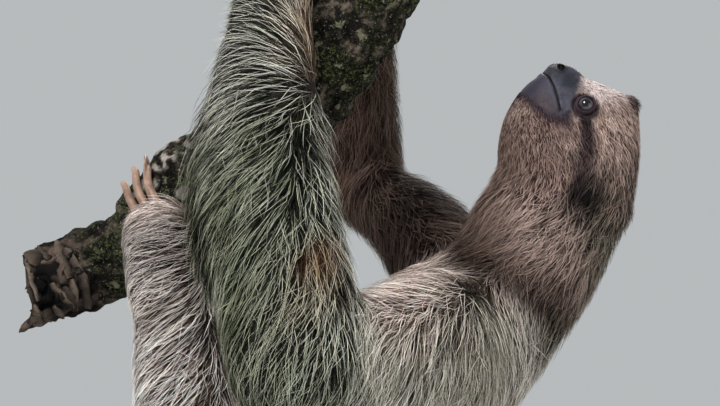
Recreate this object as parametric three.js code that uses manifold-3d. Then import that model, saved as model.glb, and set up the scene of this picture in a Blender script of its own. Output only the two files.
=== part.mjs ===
// Brown-throated three-toed sloth, life size, as a still museum-like model.
// It clings to a short cut length of branch, which stands on a flat base with two rods.
// Frame: millimetres, +Z up, floor at Z 0, +X towards the animal's back, -Y its left side.
import * as THREE from "three";
import { mergeVertices } from "three/addons/utils/BufferGeometryUtils.js";
import Module from "manifold-3d";

const wasm = await Module();
wasm.setup();

// ---------------------------------------------------------------- driving dimensions
const GAP = 0.3; // between touching pieces
const POSE_LIFT = 381; // from the floor to the pose's own zero height
const POSE_SHIFT = 20; // from the pose's own zero to the base's centre along X
const HEAD_TILT = 22; // degrees the nose leans back from straight up
const SKULL_SPOT = [119, 0, 51]; // just over the eyes on the midline, the zero of the head's own axes
const EYE_RADIUS = 5.2;
const EYE_SPAN = 38.2; // between the eyeballs' centres
const EYE_PLACE = [-0.1, -2.6]; // along the skull and up it, from the zero of its axes
const EAR_HALF = [6, 4.5, 7]; // along the skull, across it, and up it
const EAR_SPOT = [-43, 29.2, -20.5]; // along the skull, from the midline, and up it
const NOSE_HALF = [4.2, 8, 6.2];
const NOSE_SPOT = [22.2, 0, -8.2];
const MOUTH_HEIGHT = -14.5; // under the eye's line
const MOUTH_CORNER = 3.2; // in front of the eye
const CHEST_END = 0.62; // share of the trunk's spine where the chest meets the abdomen
const NECK_END = 0.33; // share of the trunk's spine where the neck meets the chest
const BRANCH_RADIUS = 28;
const HAND_CLAW = { length: 62, depth: 3.6, width: 2.9, rise: 4 };
const FOOT_CLAW = { length: 50, depth: 2.8, width: 2.5, rise: 1.4 };
const CLAW_PITCH = { hand: 9.2, foot: 6.2 }; // between neighbouring claws
const BASE_LENGTH = 300;
const BASE_WIDTH = 226;
const BASE_THICK = 16;
const BASE_CORNER = 30;
const ROD_RADIUS = 6;
const ROD_COLLAR = { radius: 15, height: 6 };
const ROD_1_X = -90; // under the perch
const ROD_2_X = 25; // under the rump

// The skull's stations from nose to nape: along it, crown line, throat line, half width.
const HEAD_STATIONS = [
  [24.0, -3.2, -18.5, 9.5],
  [22.8, -0.8, -24.0, 12.6],
  [20.5, 1.0, -29.0, 15.0],
  [17.0, 2.6, -34.4, 17.4],
  [12.5, 6.6, -40.2, 20.2],
  [7.5, 12.2, -45.0, 23.2],
  [0, 19.6, -50.2, 26.8],
  [-7.5, 26.4, -54.2, 29.4],
  [-17, 23.6, -56.6, 31.4],
  [-27, 20.2, -55.0, 32.4],
  [-37, 16.2, -51.0, 32.4],
  [-48, 10.2, -45.0, 31.4],
  [-57, 4.6, -38.0, 29.4],
];

// Spine and girth of neck and trunk: place, half width across, half depth from back to belly.
const SPINE = [
  { at: [112, 0, 26], half: [20, 22] },
  { at: [108, 0, 8], half: [31, 37] },
  { at: [96, 0, -14], half: [37, 39.5] },
  { at: [84, 0, -39], half: [46, 39.5] },
  { at: [58.5, 0, -67], half: [58, 45] },
  { at: [23, 0, -97], half: [64, 58] },
  { at: [3, 0, -147], half: [67, 59] },
  { at: [-13, 0, -198], half: [67, 57] },
  { at: [-34, 0, -244], half: [65, 53] },
  { at: [-55, 0, -276], half: [52, 42] },
];

// Limbs: place, half width, half thickness. Each one starts at its root.
const UPPER_ARM_L = [
  { at: [50, -24, -77], half: [44, 32] },
  { at: [41, -64, -75], half: [46, 33] },
  { at: [13, -98, -76], half: [38, 32] },
  { at: [-22, -128, -78], half: [30, 27] },
];
const FOREARM_L = [
  { at: [-28, -133, -82], half: [34, 28] },
  { at: [-34, -124, -44], half: [35.5, 29] },
  { at: [-43, -109, -8], half: [36, 27] },
  { at: [-47.5, -92, 26], half: [34.5, 25] },
  { at: [-47, -76, 58], half: [29, 22.5] },
  { at: [-46.5, -68, 78], half: [24, 19] },
];
const HAND_L = [
  { at: [-46.5, -67, 80], half: [23.5, 18.5] },
  { at: [-45, -60, 100], half: [18.5, 15.5] },
  { at: [-41, -50, 115], half: [16, 13] },
  { at: [-33, -39, 125], half: [15, 10.5] },
];
const UPPER_ARM_R = [
  { at: [54, 26, -58], half: [35, 28] },
  { at: [45, 72, -31], half: [35, 29] },
  { at: [24, 106, -7], half: [27, 27] },
  { at: [4, 138, 5], half: [26, 25] },
];
const FOREARM_R = [
  { at: [0, 144, 6], half: [28, 25] },
  { at: [0, 128, 36], half: [27, 24] },
  { at: [0, 104, 66], half: [23.5, 22] },
  { at: [2, 78, 96], half: [20, 19] },
  { at: [4, 56, 121], half: [17.5, 16] },
];
const HAND_R = [
  { at: [4, 54, 123], half: [17, 15.5] },
  { at: [0, 43, 143], half: [16, 14] },
  { at: [-8, 32, 160], half: [15.5, 12.5] },
  { at: [-16, 19, 172], half: [14.5, 10.5] },
];
const THIGH_L = [
  { at: [-32, -24, -242], half: [43, 36] },
  { at: [-56, -58, -210], half: [38, 33] },
  { at: [-74, -78, -173], half: [31, 27] },
];
const SHANK_L = [
  { at: [-80, -83, -152], half: [30, 27] },
  { at: [-83, -76, -122], half: [28.5, 26] },
  { at: [-87, -64, -90], half: [26.5, 24] },
  { at: [-90.5, -57, -62], half: [24.5, 21.5] },
];
const FOOT_L = [
  { at: [-91, -56.5, -60], half: [24, 21] },
  { at: [-96.5, -53, -36], half: [22, 18] },
  { at: [-100.5, -48, -16], half: [20.5, 14.5] },
  { at: [-102.5, -43.5, -4], half: [18, 10] },
];
const THIGH_R = [
  { at: [-32, 24, -242], half: [43, 36] },
  { at: [-57, 59, -204], half: [38, 33] },
  { at: [-77, 80, -161], half: [31, 27] },
];
const SHANK_R = [
  { at: [-83, 87, -140], half: [30, 27] },
  { at: [-80, 76, -108], half: [28, 25.5] },
  { at: [-75, 63, -76], half: [25.5, 23] },
  { at: [-71, 56, -50], half: [23, 20.5] },
];
const FOOT_R = [
  { at: [-71, 55.5, -48], half: [22.5, 20] },
  { at: [-70, 50, -26], half: [20.5, 17] },
  { at: [-69, 44, -8], half: [17.5, 14] },
  { at: [-68, 38, 8], half: [13.5, 10] },
];
const TAIL = [
  { at: [-52, 0, -288], half: [19, 18] },
  { at: [-66, 0, -310], half: [17, 15] },
  { at: [-80, 0, -331], half: [11, 9.5] },
];

// The perch's centre line from its broken stub to its sawn top, and the radius there.
const BRANCH = [
  { at: [-176.5, -9, -47], radius: 21 },
  { at: [-136, -6, -32], radius: 21.5 },
  { at: [-115, -5, -21], radius: 22.5 },
  { at: [-98, -4, 1.5], radius: 24.5 },
  { at: [-57, -8, 31], radius: 25.5 },
  { at: [-15, -14, 80], radius: 28 },
  { at: [8, -18, 120], radius: BRANCH_RADIUS },
  { at: [17, -20, 160], radius: 27 },
  { at: [20, -20, 205], radius: 26 },
  { at: [22, -20, 236], radius: 25.5 },
];

// Where each set of three claws sits: distance along the perch of the middle one, the angle
// where it starts from the near side over the top, which way it turns, and its drift along it.
const GRIPS = {
  hand_l: { along: 260, from: 50, turn: 1, drift: 0 },
  hand_r: { along: 308, from: 158, turn: -1, drift: 0 },
  foot_l: { along: 82, from: -4, turn: 1, drift: 12 },
  foot_r: { along: 135, from: 186, turn: -1, drift: 6 },
};

// ---------------------------------------------------------------- small helpers
const rad = THREE.MathUtils.degToRad;
const at = (x, y, z) => new THREE.Vector3(x + POSE_SHIFT, y, z + POSE_LIFT);
const ACROSS = new THREE.Vector3(0, 1, 0);
const UPRIGHT = new THREE.Vector3(0, 0, 1);
const SKULL_FORWARD = new THREE.Vector3(-Math.sin(rad(HEAD_TILT)), 0, Math.cos(rad(HEAD_TILT)));
const SKULL_UP = new THREE.Vector3(Math.cos(rad(HEAD_TILT)), 0, Math.sin(rad(HEAD_TILT)));

// A point in the skull's own axes: along it towards the nose, across it, and up to the crown.
function skullPoint(along, across, up) {
  return at(...SKULL_SPOT)
    .addScaledVector(SKULL_FORWARD, along)
    .addScaledVector(ACROSS, across)
    .addScaledVector(SKULL_UP, up);
}

function solid(geometry) {
  const bare = geometry.clone();
  bare.deleteAttribute("normal");
  bare.deleteAttribute("uv");
  const merged = mergeVertices(bare, 1e-3);
  return new wasm.Manifold(
    new wasm.Mesh({
      numProp: 3,
      vertProperties: new Float32Array(merged.attributes.position.array),
      triVerts: new Uint32Array(merged.index.array),
    }),
  );
}

// Closed skin over a list of rings of points, with one pole point at each end.
function skinOver(rings, startPole, endPole) {
  const sides = rings[0].length;
  const points = rings.flat();
  const first = points.push(startPole) - 1;
  const last = points.push(endPole) - 1;
  const index = [];
  for (let i = 0; i < sides; i++) {
    const j = (i + 1) % sides;
    index.push(first, j, i);
    for (let r = 0; r + 1 < rings.length; r++) {
      const a = r * sides;
      const b = a + sides;
      index.push(a + i, a + j, b + j);
      index.push(a + i, b + j, b + i);
    }
    const end = (rings.length - 1) * sides;
    index.push(last, end + i, end + j);
  }
  const geometry = new THREE.BufferGeometry().setFromPoints(points);
  geometry.setIndex(index);
  return geometry;
}

function ringAt(centre, side, up, halfSide, halfUp, sides, power) {
  return Array.from({ length: sides }, (_, i) => {
    const angle = (2 * Math.PI * i) / sides;
    const c = Math.cos(angle);
    const s = Math.sin(angle);
    const x = Math.sign(c) * Math.abs(c) ** (2 / power) * halfSide;
    const y = Math.sign(s) * Math.abs(s) ** (2 / power) * halfUp;
    return centre.clone().addScaledVector(side, x).addScaledVector(up, y);
  });
}

// A rounded limb or trunk: oval rings along a smooth line, with a dome at each end.
function loft(keys, { rings, sides, across = ACROSS, domes = [0.8, 0.8], power = 2 }, grow = 0) {
  const line = new THREE.CatmullRomCurve3(keys.map((k) => at(...k.at)), false, "centripetal");
  const girth = new THREE.CatmullRomCurve3(
    keys.map((k) => new THREE.Vector3(k.half[0], k.half[1], 0)),
    false,
    "catmullrom",
    0.5,
  );
  const section = (t, out, scale) => {
    const tangent = line.getTangent(t);
    const half = girth.getPoint(t);
    const side = across.clone().addScaledVector(tangent, -across.dot(tangent)).normalize();
    const up = tangent.clone().cross(side);
    const centre = line.getPoint(t).addScaledVector(tangent, out);
    return ringAt(centre, side, up, (half.x + grow) * scale, (half.y + grow) * scale, sides, power);
  };
  const reach = [0, 1].map((t) => {
    const half = girth.getPoint(t);
    return domes[t] * Math.min(half.x, half.y) + grow;
  });
  const list = [];
  for (const bend of [60, 30]) list.push(section(0, -reach[0] * Math.sin(rad(bend)), Math.cos(rad(bend))));
  for (let r = 0; r < rings; r++) list.push(section(r / (rings - 1), 0, 1));
  for (const bend of [30, 60]) list.push(section(1, reach[1] * Math.sin(rad(bend)), Math.cos(rad(bend))));
  const start = line.getPoint(0).addScaledVector(line.getTangent(0), -reach[0]);
  const end = line.getPoint(1).addScaledVector(line.getTangent(1), reach[1]);
  return solid(skinOver(list, start, end));
}

function headLoft(grow = 0) {
  const profile = new THREE.CatmullRomCurve3(
    HEAD_STATIONS.map((s) => new THREE.Vector3(s[0], s[1], s[2])),
    false,
    "catmullrom",
    0.5,
  );
  const width = new THREE.CatmullRomCurve3(
    HEAD_STATIONS.map((s) => new THREE.Vector3(s[3], 0, 0)),
    false,
    "catmullrom",
    0.5,
  );
  const section = (t, out, scale) => {
    const p = profile.getPoint(t);
    const centre = skullPoint(p.x - out, 0, (p.y + p.z) / 2);
    const halfUp = (p.y - p.z) / 2 + grow;
    const halfSide = width.getPoint(t).x + grow;
    return ringAt(centre, ACROSS, SKULL_UP, halfSide * scale, halfUp * scale, 20, 2.15);
  };
  const list = [];
  const frontDome = 1.6 + grow;
  const backDome = 16 + grow;
  for (const bend of [70, 40]) {
    list.push(section(0, -frontDome * Math.sin(rad(bend)), Math.cos(rad(bend))));
  }
  const rings = 16;
  for (let r = 0; r < rings; r++) list.push(section(r / (rings - 1), 0, 1));
  for (const bend of [35, 65]) {
    list.push(section(1, backDome * Math.sin(rad(bend)), Math.cos(rad(bend))));
  }
  const front = HEAD_STATIONS[0];
  const back = HEAD_STATIONS[HEAD_STATIONS.length - 1];
  const start = skullPoint(front[0] + frontDome, 0, (front[1] + front[2]) / 2);
  const end = skullPoint(back[0] - backDome, 0, (back[1] + back[2]) / 2);
  return solid(skinOver(list, start, end));
}

const SKULL_AXES = new THREE.Matrix4().makeBasis(SKULL_FORWARD, ACROSS.clone().negate(), SKULL_UP);

// An oval solid in the skull's axes.
function skullOval(spot, half, grow = 0, detail = [10, 6]) {
  const oval = new THREE.SphereGeometry(1, ...detail);
  oval.scale(half[0] + grow, half[1] + grow, half[2] + grow);
  oval.applyMatrix4(SKULL_AXES);
  return solid(oval.translate(...skullPoint(...spot)));
}

// Everything on the side of a plane that its normal points to, less half a gap.
function halfSpace(point, normal) {
  const size = 900;
  const box = new THREE.BoxGeometry(size, size, size);
  box.translate(0, 0, (size + GAP) / 2);
  box.applyQuaternion(new THREE.Quaternion().setFromUnitVectors(UPRIGHT, normal));
  return solid(box.translate(...point));
}

// ---------------------------------------------------------------- the perch
const branchLine = new THREE.CatmullRomCurve3(BRANCH.map((k) => at(...k.at)), false, "centripetal");
const branchGirth = new THREE.CatmullRomCurve3(
  BRANCH.map((k) => new THREE.Vector3(k.radius, 0, 0)),
  false,
  "catmullrom",
  0.5,
);
const branchLength = branchLine.getLength();

// Axes round the perch at a distance from its stub: along it, towards the near side, over its top.
function branchFrame(distance) {
  const u = THREE.MathUtils.clamp(distance / branchLength, 0, 1);
  const along = branchLine.getTangentAt(u);
  const near = ACROSS.clone().negate();
  near.addScaledVector(along, -near.dot(along)).normalize();
  const over = near.clone().cross(along);
  const t = branchLine.getUtoTmapping(u);
  return { centre: branchLine.getPointAt(u), along, near, over, radius: branchGirth.getPoint(t).x };
}

function branchSolid(grow = 0) {
  const rings = 19;
  const sides = 12;
  // the broken end slants, with its lower side the longer
  const splinter = (angle) =>
    3.5 * Math.sin(3 * angle + 0.4) + 2 * Math.sin(7 * angle) - 9 * Math.sin(angle) + 3 * Math.cos(angle);
  const ring = (distance, scale, jag) => {
    const f = branchFrame(distance);
    return Array.from({ length: sides }, (_, i) => {
      const angle = (2 * Math.PI * i) / sides;
      const knot = 0.9 * Math.sin(3 * angle + distance * 0.05) - 0.6;
      const r = (f.radius + knot + grow) * scale;
      return f.centre
        .clone()
        .addScaledVector(f.near, r * Math.cos(angle))
        .addScaledVector(f.over, -r * Math.sin(angle))
        .addScaledVector(f.along, jag * splinter(angle));
    });
  };
  const list = [ring(14, 0.45, 0.4), ring(9, 0.72, 0.8), ring(4, 0.98, 1)];
  for (let r = 1; r < rings; r++) list.push(ring((branchLength * r) / (rings - 1), 1, 0));
  const top = branchFrame(branchLength);
  const pit = branchFrame(20);
  return solid(skinOver(list, pit.centre, top.centre.clone().addScaledVector(top.along, grow)));
}

// One claw: a tapering hook round the perch, its root inside the hand or foot.
function clawSolid(grip, index, size, pitch, grow = 0) {
  const rings = 7;
  const sides = 6;
  const step = grip.along + (index - 1) * pitch;
  const sweep = size.length / (BRANCH_RADIUS + size.depth);
  const list = [];
  let start;
  let end;
  for (let r = 0; r < rings; r++) {
    const share = r / (rings - 1);
    const f = branchFrame(step + grip.drift * Math.min(1, share * 1.6));
    const angle = rad(grip.from) + grip.turn * sweep * share;
    const radial = f.near.clone().multiplyScalar(Math.cos(angle)).addScaledVector(f.over, Math.sin(angle));
    const taper = (1 - share) ** 0.6;
    const lift = 1.1 + size.depth * taper + 5 * (1 - share) ** 3 + size.rise * (1 - share) ** 2;
    const centre = f.centre.clone().addScaledVector(radial, f.radius + lift);
    const depth = 0.7 + (size.depth - 0.7) * taper + grow;
    const width = 0.7 + (size.width - 0.7) * taper + grow;
    const across = f.along.clone().multiplyScalar(-grip.turn);
    list.push(ringAt(centre, across, radial, width, depth, sides, 2));
    if (r === 0) start = centre;
    end = centre.clone();
  }
  return solid(skinOver(list, start, end));
}

// ---------------------------------------------------------------- the animal
const ARM_SHAPE = { rings: 6, sides: 14 };
const LEG_SHAPE = { rings: 5, sides: 14 };
const PAW_SHAPE = { rings: 4, sides: 12, domes: [0.8, 0.55] };
const TRUNK_SHAPE = { rings: 18, sides: 18, domes: [0.5, 0.95] };

const trunk = (grow) => loft(SPINE, TRUNK_SHAPE, grow);
const body = headLoft().add(trunk(0));
const bodyGrown = headLoft(GAP).add(trunk(GAP));

const spineLine = new THREE.CatmullRomCurve3(SPINE.map((k) => at(...k.at)), false, "centripetal");
const napeSpot = skullPoint(-66, 0, 0);
const throatSpot = skullPoint(-14, 0, -64);
const headCut = napeSpot.clone().sub(throatSpot).normalize().cross(ACROSS);
const neckCut = spineLine.getTangent(NECK_END);
const chestCut = spineLine.getTangent(CHEST_END);

const neckSpot = spineLine.getPoint(NECK_END);
const chestSpot = spineLine.getPoint(CHEST_END);
const headSide = halfSpace(napeSpot, headCut);
const belowHead = halfSpace(napeSpot, headCut.clone().negate());
const belowNeck = halfSpace(neckSpot, neckCut);
const aboveNeckCut = halfSpace(neckSpot, neckCut.clone().negate());
const belowChest = halfSpace(chestSpot, chestCut);
const aboveChestCut = halfSpace(chestSpot, chestCut.clone().negate());

const eyeSpot = (side) => [EYE_PLACE[0], (side * EYE_SPAN) / 2, EYE_PLACE[1]];
const eyeHalf = [EYE_RADIUS, EYE_RADIUS, EYE_RADIUS];
const earSpot = (side) => [EAR_SPOT[0], side * EAR_SPOT[1], EAR_SPOT[2]];
const jawBox = (grow) => {
  const box = new THREE.BoxGeometry(60 + grow, 120, 80 + grow);
  box.translate(30 + MOUTH_CORNER - grow / 2, 0, MOUTH_HEIGHT - 40 + grow / 2);
  box.applyMatrix4(SKULL_AXES);
  return solid(box.translate(...at(...SKULL_SPOT)));
};

let head = body.intersect(headSide);
let neck = body.intersect(belowHead).intersect(aboveNeckCut);
const chest = body.intersect(belowNeck).intersect(aboveChestCut);
const abdomen = body.intersect(belowChest);

for (const side of [-1, 1]) {
  const ear = skullOval(earSpot(side), EAR_HALF, GAP);
  head = head.subtract(skullOval(eyeSpot(side), eyeHalf, GAP, [12, 7])).subtract(ear);
  neck = neck.subtract(ear);
}
head = head.subtract(skullOval(NOSE_SPOT, NOSE_HALF, GAP));
const lowerJaw = head.intersect(jawBox(0));
head = head.subtract(jawBox(GAP));

const parts = {};
parts.head = head;
parts.lower_jaw = lowerJaw;
parts.nose = skullOval(NOSE_SPOT, NOSE_HALF);
parts.eye_left = skullOval(eyeSpot(-1), eyeHalf, 0, [12, 7]);
parts.eye_right = skullOval(eyeSpot(1), eyeHalf, 0, [12, 7]);
parts.ear_left = skullOval(earSpot(-1), EAR_HALF);
parts.ear_right = skullOval(earSpot(1), EAR_HALF);
parts.neck = neck;
parts.chest = chest;
parts.abdomen = abdomen;
parts.tail = loft(TAIL, { rings: 5, sides: 12 }).subtract(bodyGrown);

// Each limb segment is cut back from the segment that it meets.
const limbs = {
  left: {
    upper_arm: UPPER_ARM_L,
    forearm: FOREARM_L,
    hand: HAND_L,
    thigh: THIGH_L,
    shank: SHANK_L,
    foot: FOOT_L,
  },
  right: {
    upper_arm: UPPER_ARM_R,
    forearm: FOREARM_R,
    hand: HAND_R,
    thigh: THIGH_R,
    shank: SHANK_R,
    foot: FOOT_R,
  },
};
const ALONG_X = new THREE.Vector3(1, 0, 0);
const grips = { left: ["hand_l", "foot_l"], right: ["hand_r", "foot_r"] };
const perchGrown = branchSolid(GAP);
for (const [side, set] of Object.entries(limbs)) {
  const arm = { ...ARM_SHAPE, across: UPRIGHT };
  const fore = { ...ARM_SHAPE, across: ALONG_X };
  const leg = { ...LEG_SHAPE, across: ALONG_X };
  const paw = { ...PAW_SHAPE, across: ALONG_X };
  const forearmGrown = loft(set.forearm, fore, GAP);
  const shankGrown = loft(set.shank, leg, GAP);
  parts[`forearm_${side}`] = loft(set.forearm, fore).subtract(bodyGrown);
  parts[`upper_arm_${side}`] = loft(set.upper_arm, arm).subtract(bodyGrown).subtract(forearmGrown);
  parts[`hand_${side}`] = loft(set.hand, paw).subtract(forearmGrown).subtract(perchGrown);
  parts[`shank_${side}`] = loft(set.shank, leg).subtract(bodyGrown);
  parts[`thigh_${side}`] = loft(set.thigh, leg).subtract(bodyGrown).subtract(shankGrown);
  parts[`foot_${side}`] = loft(set.foot, paw).subtract(shankGrown).subtract(perchGrown);
  const [handGrip, footGrip] = grips[side];
  for (const index of [0, 1, 2]) {
    const nail = `_${side}_${index + 1}`;
    const handClaw = clawSolid(GRIPS[handGrip], index, HAND_CLAW, CLAW_PITCH.hand);
    const footClaw = clawSolid(GRIPS[footGrip], index, FOOT_CLAW, CLAW_PITCH.foot);
    parts["hand_claw" + nail] = handClaw.subtract(loft(set.hand, paw, GAP));
    parts["foot_claw" + nail] = footClaw.subtract(loft(set.foot, paw, GAP));
  }
}

// ---------------------------------------------------------------- perch and stand
parts.perch_branch = branchSolid();

function baseGeometry() {
  const x = BASE_LENGTH / 2 - 2;
  const y = BASE_WIDTH / 2 - 2;
  const c = BASE_CORNER;
  const outline = new THREE.Shape();
  outline.moveTo(-x + c, -y);
  outline.lineTo(x - c, -y);
  outline.absarc(x - c, -y + c, c, -Math.PI / 2, 0);
  outline.absarc(x - c, y - c, c, 0, Math.PI / 2);
  outline.absarc(-x + c, y - c, c, Math.PI / 2, Math.PI);
  outline.absarc(-x + c, -y + c, c, Math.PI, 1.5 * Math.PI);
  return new THREE.ExtrudeGeometry(outline, {
    depth: BASE_THICK - 4,
    bevelSize: 2,
    bevelThickness: 2,
    bevelSegments: 1,
    curveSegments: 4,
  }).translate(0, 0, 2);
}
parts.stand_base = solid(baseGeometry());

function rod(x, top) {
  const floor = BASE_THICK + GAP;
  const { radius, height } = ROD_COLLAR;
  const profile = [
    [0, floor],
    [radius, floor],
    [radius, floor + height - 1.5],
    [radius - 1.5, floor + height],
    [ROD_RADIUS, floor + height],
    [ROD_RADIUS, top],
    [0, top],
  ].map(([r, z]) => new THREE.Vector2(r, z));
  const turned = new THREE.LatheGeometry(profile, 14);
  turned.rotateX(Math.PI / 2);
  return solid(turned.translate(x, 0, 0));
}
parts.stand_rod_1 = rod(ROD_1_X, POSE_LIFT - 14).subtract(perchGrown);
parts.stand_rod_2 = rod(ROD_2_X, POSE_LIFT - 240).subtract(bodyGrown);

// ---------------------------------------------------------------- the finished group
const LOOKS = {
  coat: { color: 0x7a6a5a, roughness: 0.95 },
  face: { color: 0x8c7866, roughness: 0.9 },
  nose: { color: 0x2b2a2c, roughness: 0.45 },
  eye: { color: 0x1c120c, roughness: 0.1 },
  claw: { color: 0xb09078, roughness: 0.5 },
  bark: { color: 0x3c3a2c, roughness: 0.95 },
  base: { color: 0x1f2022, roughness: 0.5 },
  rod: { color: 0x9a9c9e, roughness: 0.35, metalness: 1 },
};
function lookOf(name) {
  if (name.includes("claw")) return LOOKS.claw;
  if (name.startsWith("eye")) return LOOKS.eye;
  if (name === "nose") return LOOKS.nose;
  if (name === "head" || name === "lower_jaw") return LOOKS.face;
  if (name === "perch_branch") return LOOKS.bark;
  if (name === "stand_base") return LOOKS.base;
  if (name.startsWith("stand_rod")) return LOOKS.rod;
  return LOOKS.coat;
}

const sloth = new THREE.Group();
sloth.name = "three_toed_sloth";
for (const [name, made] of Object.entries(parts)) {
  const cut = made.getMesh();
  const geometry = new THREE.BufferGeometry();
  geometry.setAttribute("position", new THREE.BufferAttribute(new Float32Array(cut.vertProperties), 3));
  geometry.setIndex(new THREE.BufferAttribute(new Uint32Array(cut.triVerts), 1));
  geometry.computeVertexNormals();
  const mesh = new THREE.Mesh(geometry, new THREE.MeshStandardMaterial(lookOf(name)));
  mesh.name = name;
  sloth.add(mesh);
}

export default sloth;
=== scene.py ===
"""Looks of a brown-throated three-toed sloth that clings to a short perch on a display stand.

The work is done in millimetres in the row frame: +Z up, floor at Z 0, +X towards the animal's
back, -Y its left side and the camera. Meshes are made in metres.
"""

import math

import bmesh
import bpy
import numpy as np
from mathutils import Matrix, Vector, kdtree
from mathutils.bvhtree import BVHTree


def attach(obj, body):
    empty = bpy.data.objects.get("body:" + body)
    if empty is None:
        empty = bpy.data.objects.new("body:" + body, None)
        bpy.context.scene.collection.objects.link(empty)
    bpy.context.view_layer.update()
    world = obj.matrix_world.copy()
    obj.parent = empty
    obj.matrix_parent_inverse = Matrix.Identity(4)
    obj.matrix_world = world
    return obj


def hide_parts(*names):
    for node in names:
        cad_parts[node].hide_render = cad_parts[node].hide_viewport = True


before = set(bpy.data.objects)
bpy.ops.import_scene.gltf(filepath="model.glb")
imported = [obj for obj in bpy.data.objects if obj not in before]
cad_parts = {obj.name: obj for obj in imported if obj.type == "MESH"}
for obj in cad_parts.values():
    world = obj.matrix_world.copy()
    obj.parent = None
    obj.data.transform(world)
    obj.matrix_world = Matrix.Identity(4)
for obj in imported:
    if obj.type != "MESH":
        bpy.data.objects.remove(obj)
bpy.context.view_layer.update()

MM = 0.001
SEED = 4684

# --- real sizes, in millimetres, and the studio
PHOTO_CENTRE = np.array([20.0, 0.0, 381.0])  # what the photo's middle looks at
CAMERA_BACK = 1100.0
PHOTO_WIDTH = 379.0  # what the frame spans at that distance
SENSOR = 36.0
FLOOR_HALF = 2600  # ends below what the photo's view takes in
SKY = (0.86, 0.9, 0.92, 1)
SKY_STRENGTH = 0.55
LIGHTS = (  # place, diameter and power in watts
    ("key", (-500, -1100, 1700), 700, 34),
    ("fill", (1300, -1200, 700), 1200, 5),
    ("rim", (500, 1500, 1300), 900, 14),
)

HEAD_TILT = math.radians(22)
SKULL_SPOT = np.array([139.0, 0.0, 432.0])
FORWARD = np.array([-math.sin(HEAD_TILT), 0.0, math.cos(HEAD_TILT)])
UPWARD = np.array([math.cos(HEAD_TILT), 0.0, math.sin(HEAD_TILT)])
ACROSS = np.array([0.0, 1.0, 0.0])
EYE_RADIUS = 5.2
EYE_SPOT = (-0.1, 19.1, -2.6)  # the eyeball's centre along the skull, across it, and up it
EYE_AXIS = (0.34, 0.92, 0.12)  # forward, outward and up
LID_HALF = (3.7, 4.1)  # of the opening between the lids, along the skull and up it
LID_THICK = 0.7
IRIS_AND_REFLECTION = (2.1, 3.5)  # inner and outer radius of the ring round the pupil, partly the eye's own colour and partly painted reflection
CORNEA = 0.22
EYE_RINGS = 40
EYE_SPOKES = 56
EAR_SPOT = (-43.0, 29.2, -20.5)

SKIN_VOXEL = 2.5
OUTLINE_VOXEL = 1.6
BARK_VOXEL = 1.5
CLAW_SWELL = {"hand": 0.3, "foot": 0.6}
CLAW_DROP = 5.0
SETTLE_STEP = 2.5  # the most that the skin moves in one pass
FOLD_PASSES = 240  # that fill the hollow between the near arm and the trunk

STUB_END = np.array([-156.5, -9.0, 334.0])  # the middle of the perch's broken end
STUB_ALONG = np.array([40.5, 3.0, 15.0])
STUB_RADIUS = 19.3
SPLINTERS = 18
HOLLOW = ((12, 6.5), (0.15, 0.55))  # middle and half size, along the stub and in radians round it
HOLLOW_DEPTH = 7
CRACK_DEPTH = 1.6
BARK_LUMPS = ((0.7, 30, 51), (0.7, 12, 52), (0.6, 5.5, 53), (0.5, 3.2, 55))  # height, width, seed

# Whorls that the coat leaves, seen from the side: on the near forearm and at the shoulder.
ARM_WHORL = np.array([3.5, 0.0, 440.0])
ARM_ACROSS = 42.0  # of the forearm there
SHOULDER_WHORL = np.array([93.0, 0.0, 352.0])
# Where the neck's hair and the nape's meet the shoulder's: a point in X and Z, and the normal.
NECK_EDGE = ((94, 342), (0.5, 0.866))
NAPE_EDGE = ((110, 320), (0.96, 0.29))

REGIONS = ["head", "neck", "chest", "abdomen", "tail"]
LIMB_PARTS = ("upper_arm", "forearm", "hand", "thigh", "shank", "foot")
REGIONS += [f"{part}_{side}" for side in ("left", "right") for part in LIMB_PARTS]
REGION = {name: i for i, name in enumerate(REGIONS)}
HEAD = REGION["head"]
HEAD_NODES = ("lower_jaw", "nose", "ear_left", "ear_right")

# The coat in each part: depth over the skin, a tuft's length and width, and the pale hairs' share.
COAT = {
    "head": (0, 0, 0, 0.26),  # face_depth, FACE_LENGTH and FACE_WIDTH give the rest
    "neck": (8, 20, 0.33, 0.2),
    "chest": (10, 29, 0.34, 0.3),
    "abdomen": (12, 34, 0.46, 0.24),
    "tail": (5, 15, 0.5, 0.14),
    "upper_arm": (10, 30, 0.34, 0.28),
    "forearm": (8.5, 31, 0.29, 0.2),
    "hand": (5, 22, 0.29, 0.2),
    "thigh": (10, 32, 0.36, 0.26),
    "shank": (8, 29, 0.29, 0.28),
    "foot": (3.6, 18, 0.29, 0.3),
}

# Pieces of the coat: the parts each one covers and how many tufts it has.
PIECES = {
    "coat_face": (["head"], 27500),
    "coat_neck": (["neck"], 20000),
    "coat_chest": (["chest"], 24000),
    "coat_abdomen": (["abdomen", "tail"], 20000),
    "coat_arm_left": (["forearm_left", "hand_left"], 28400),
    "coat_arm_right": (["forearm_right", "hand_right"], 15000),
    "coat_shoulders": (["upper_arm_left", "upper_arm_right"], 28000),
    "coat_leg_left": (["shank_left", "foot_left"], 20000),
    "coat_thigh_left": (["thigh_left"], 16000),
    "coat_leg_right": (["thigh_right", "shank_right", "foot_right"], 15000),
}

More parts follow.
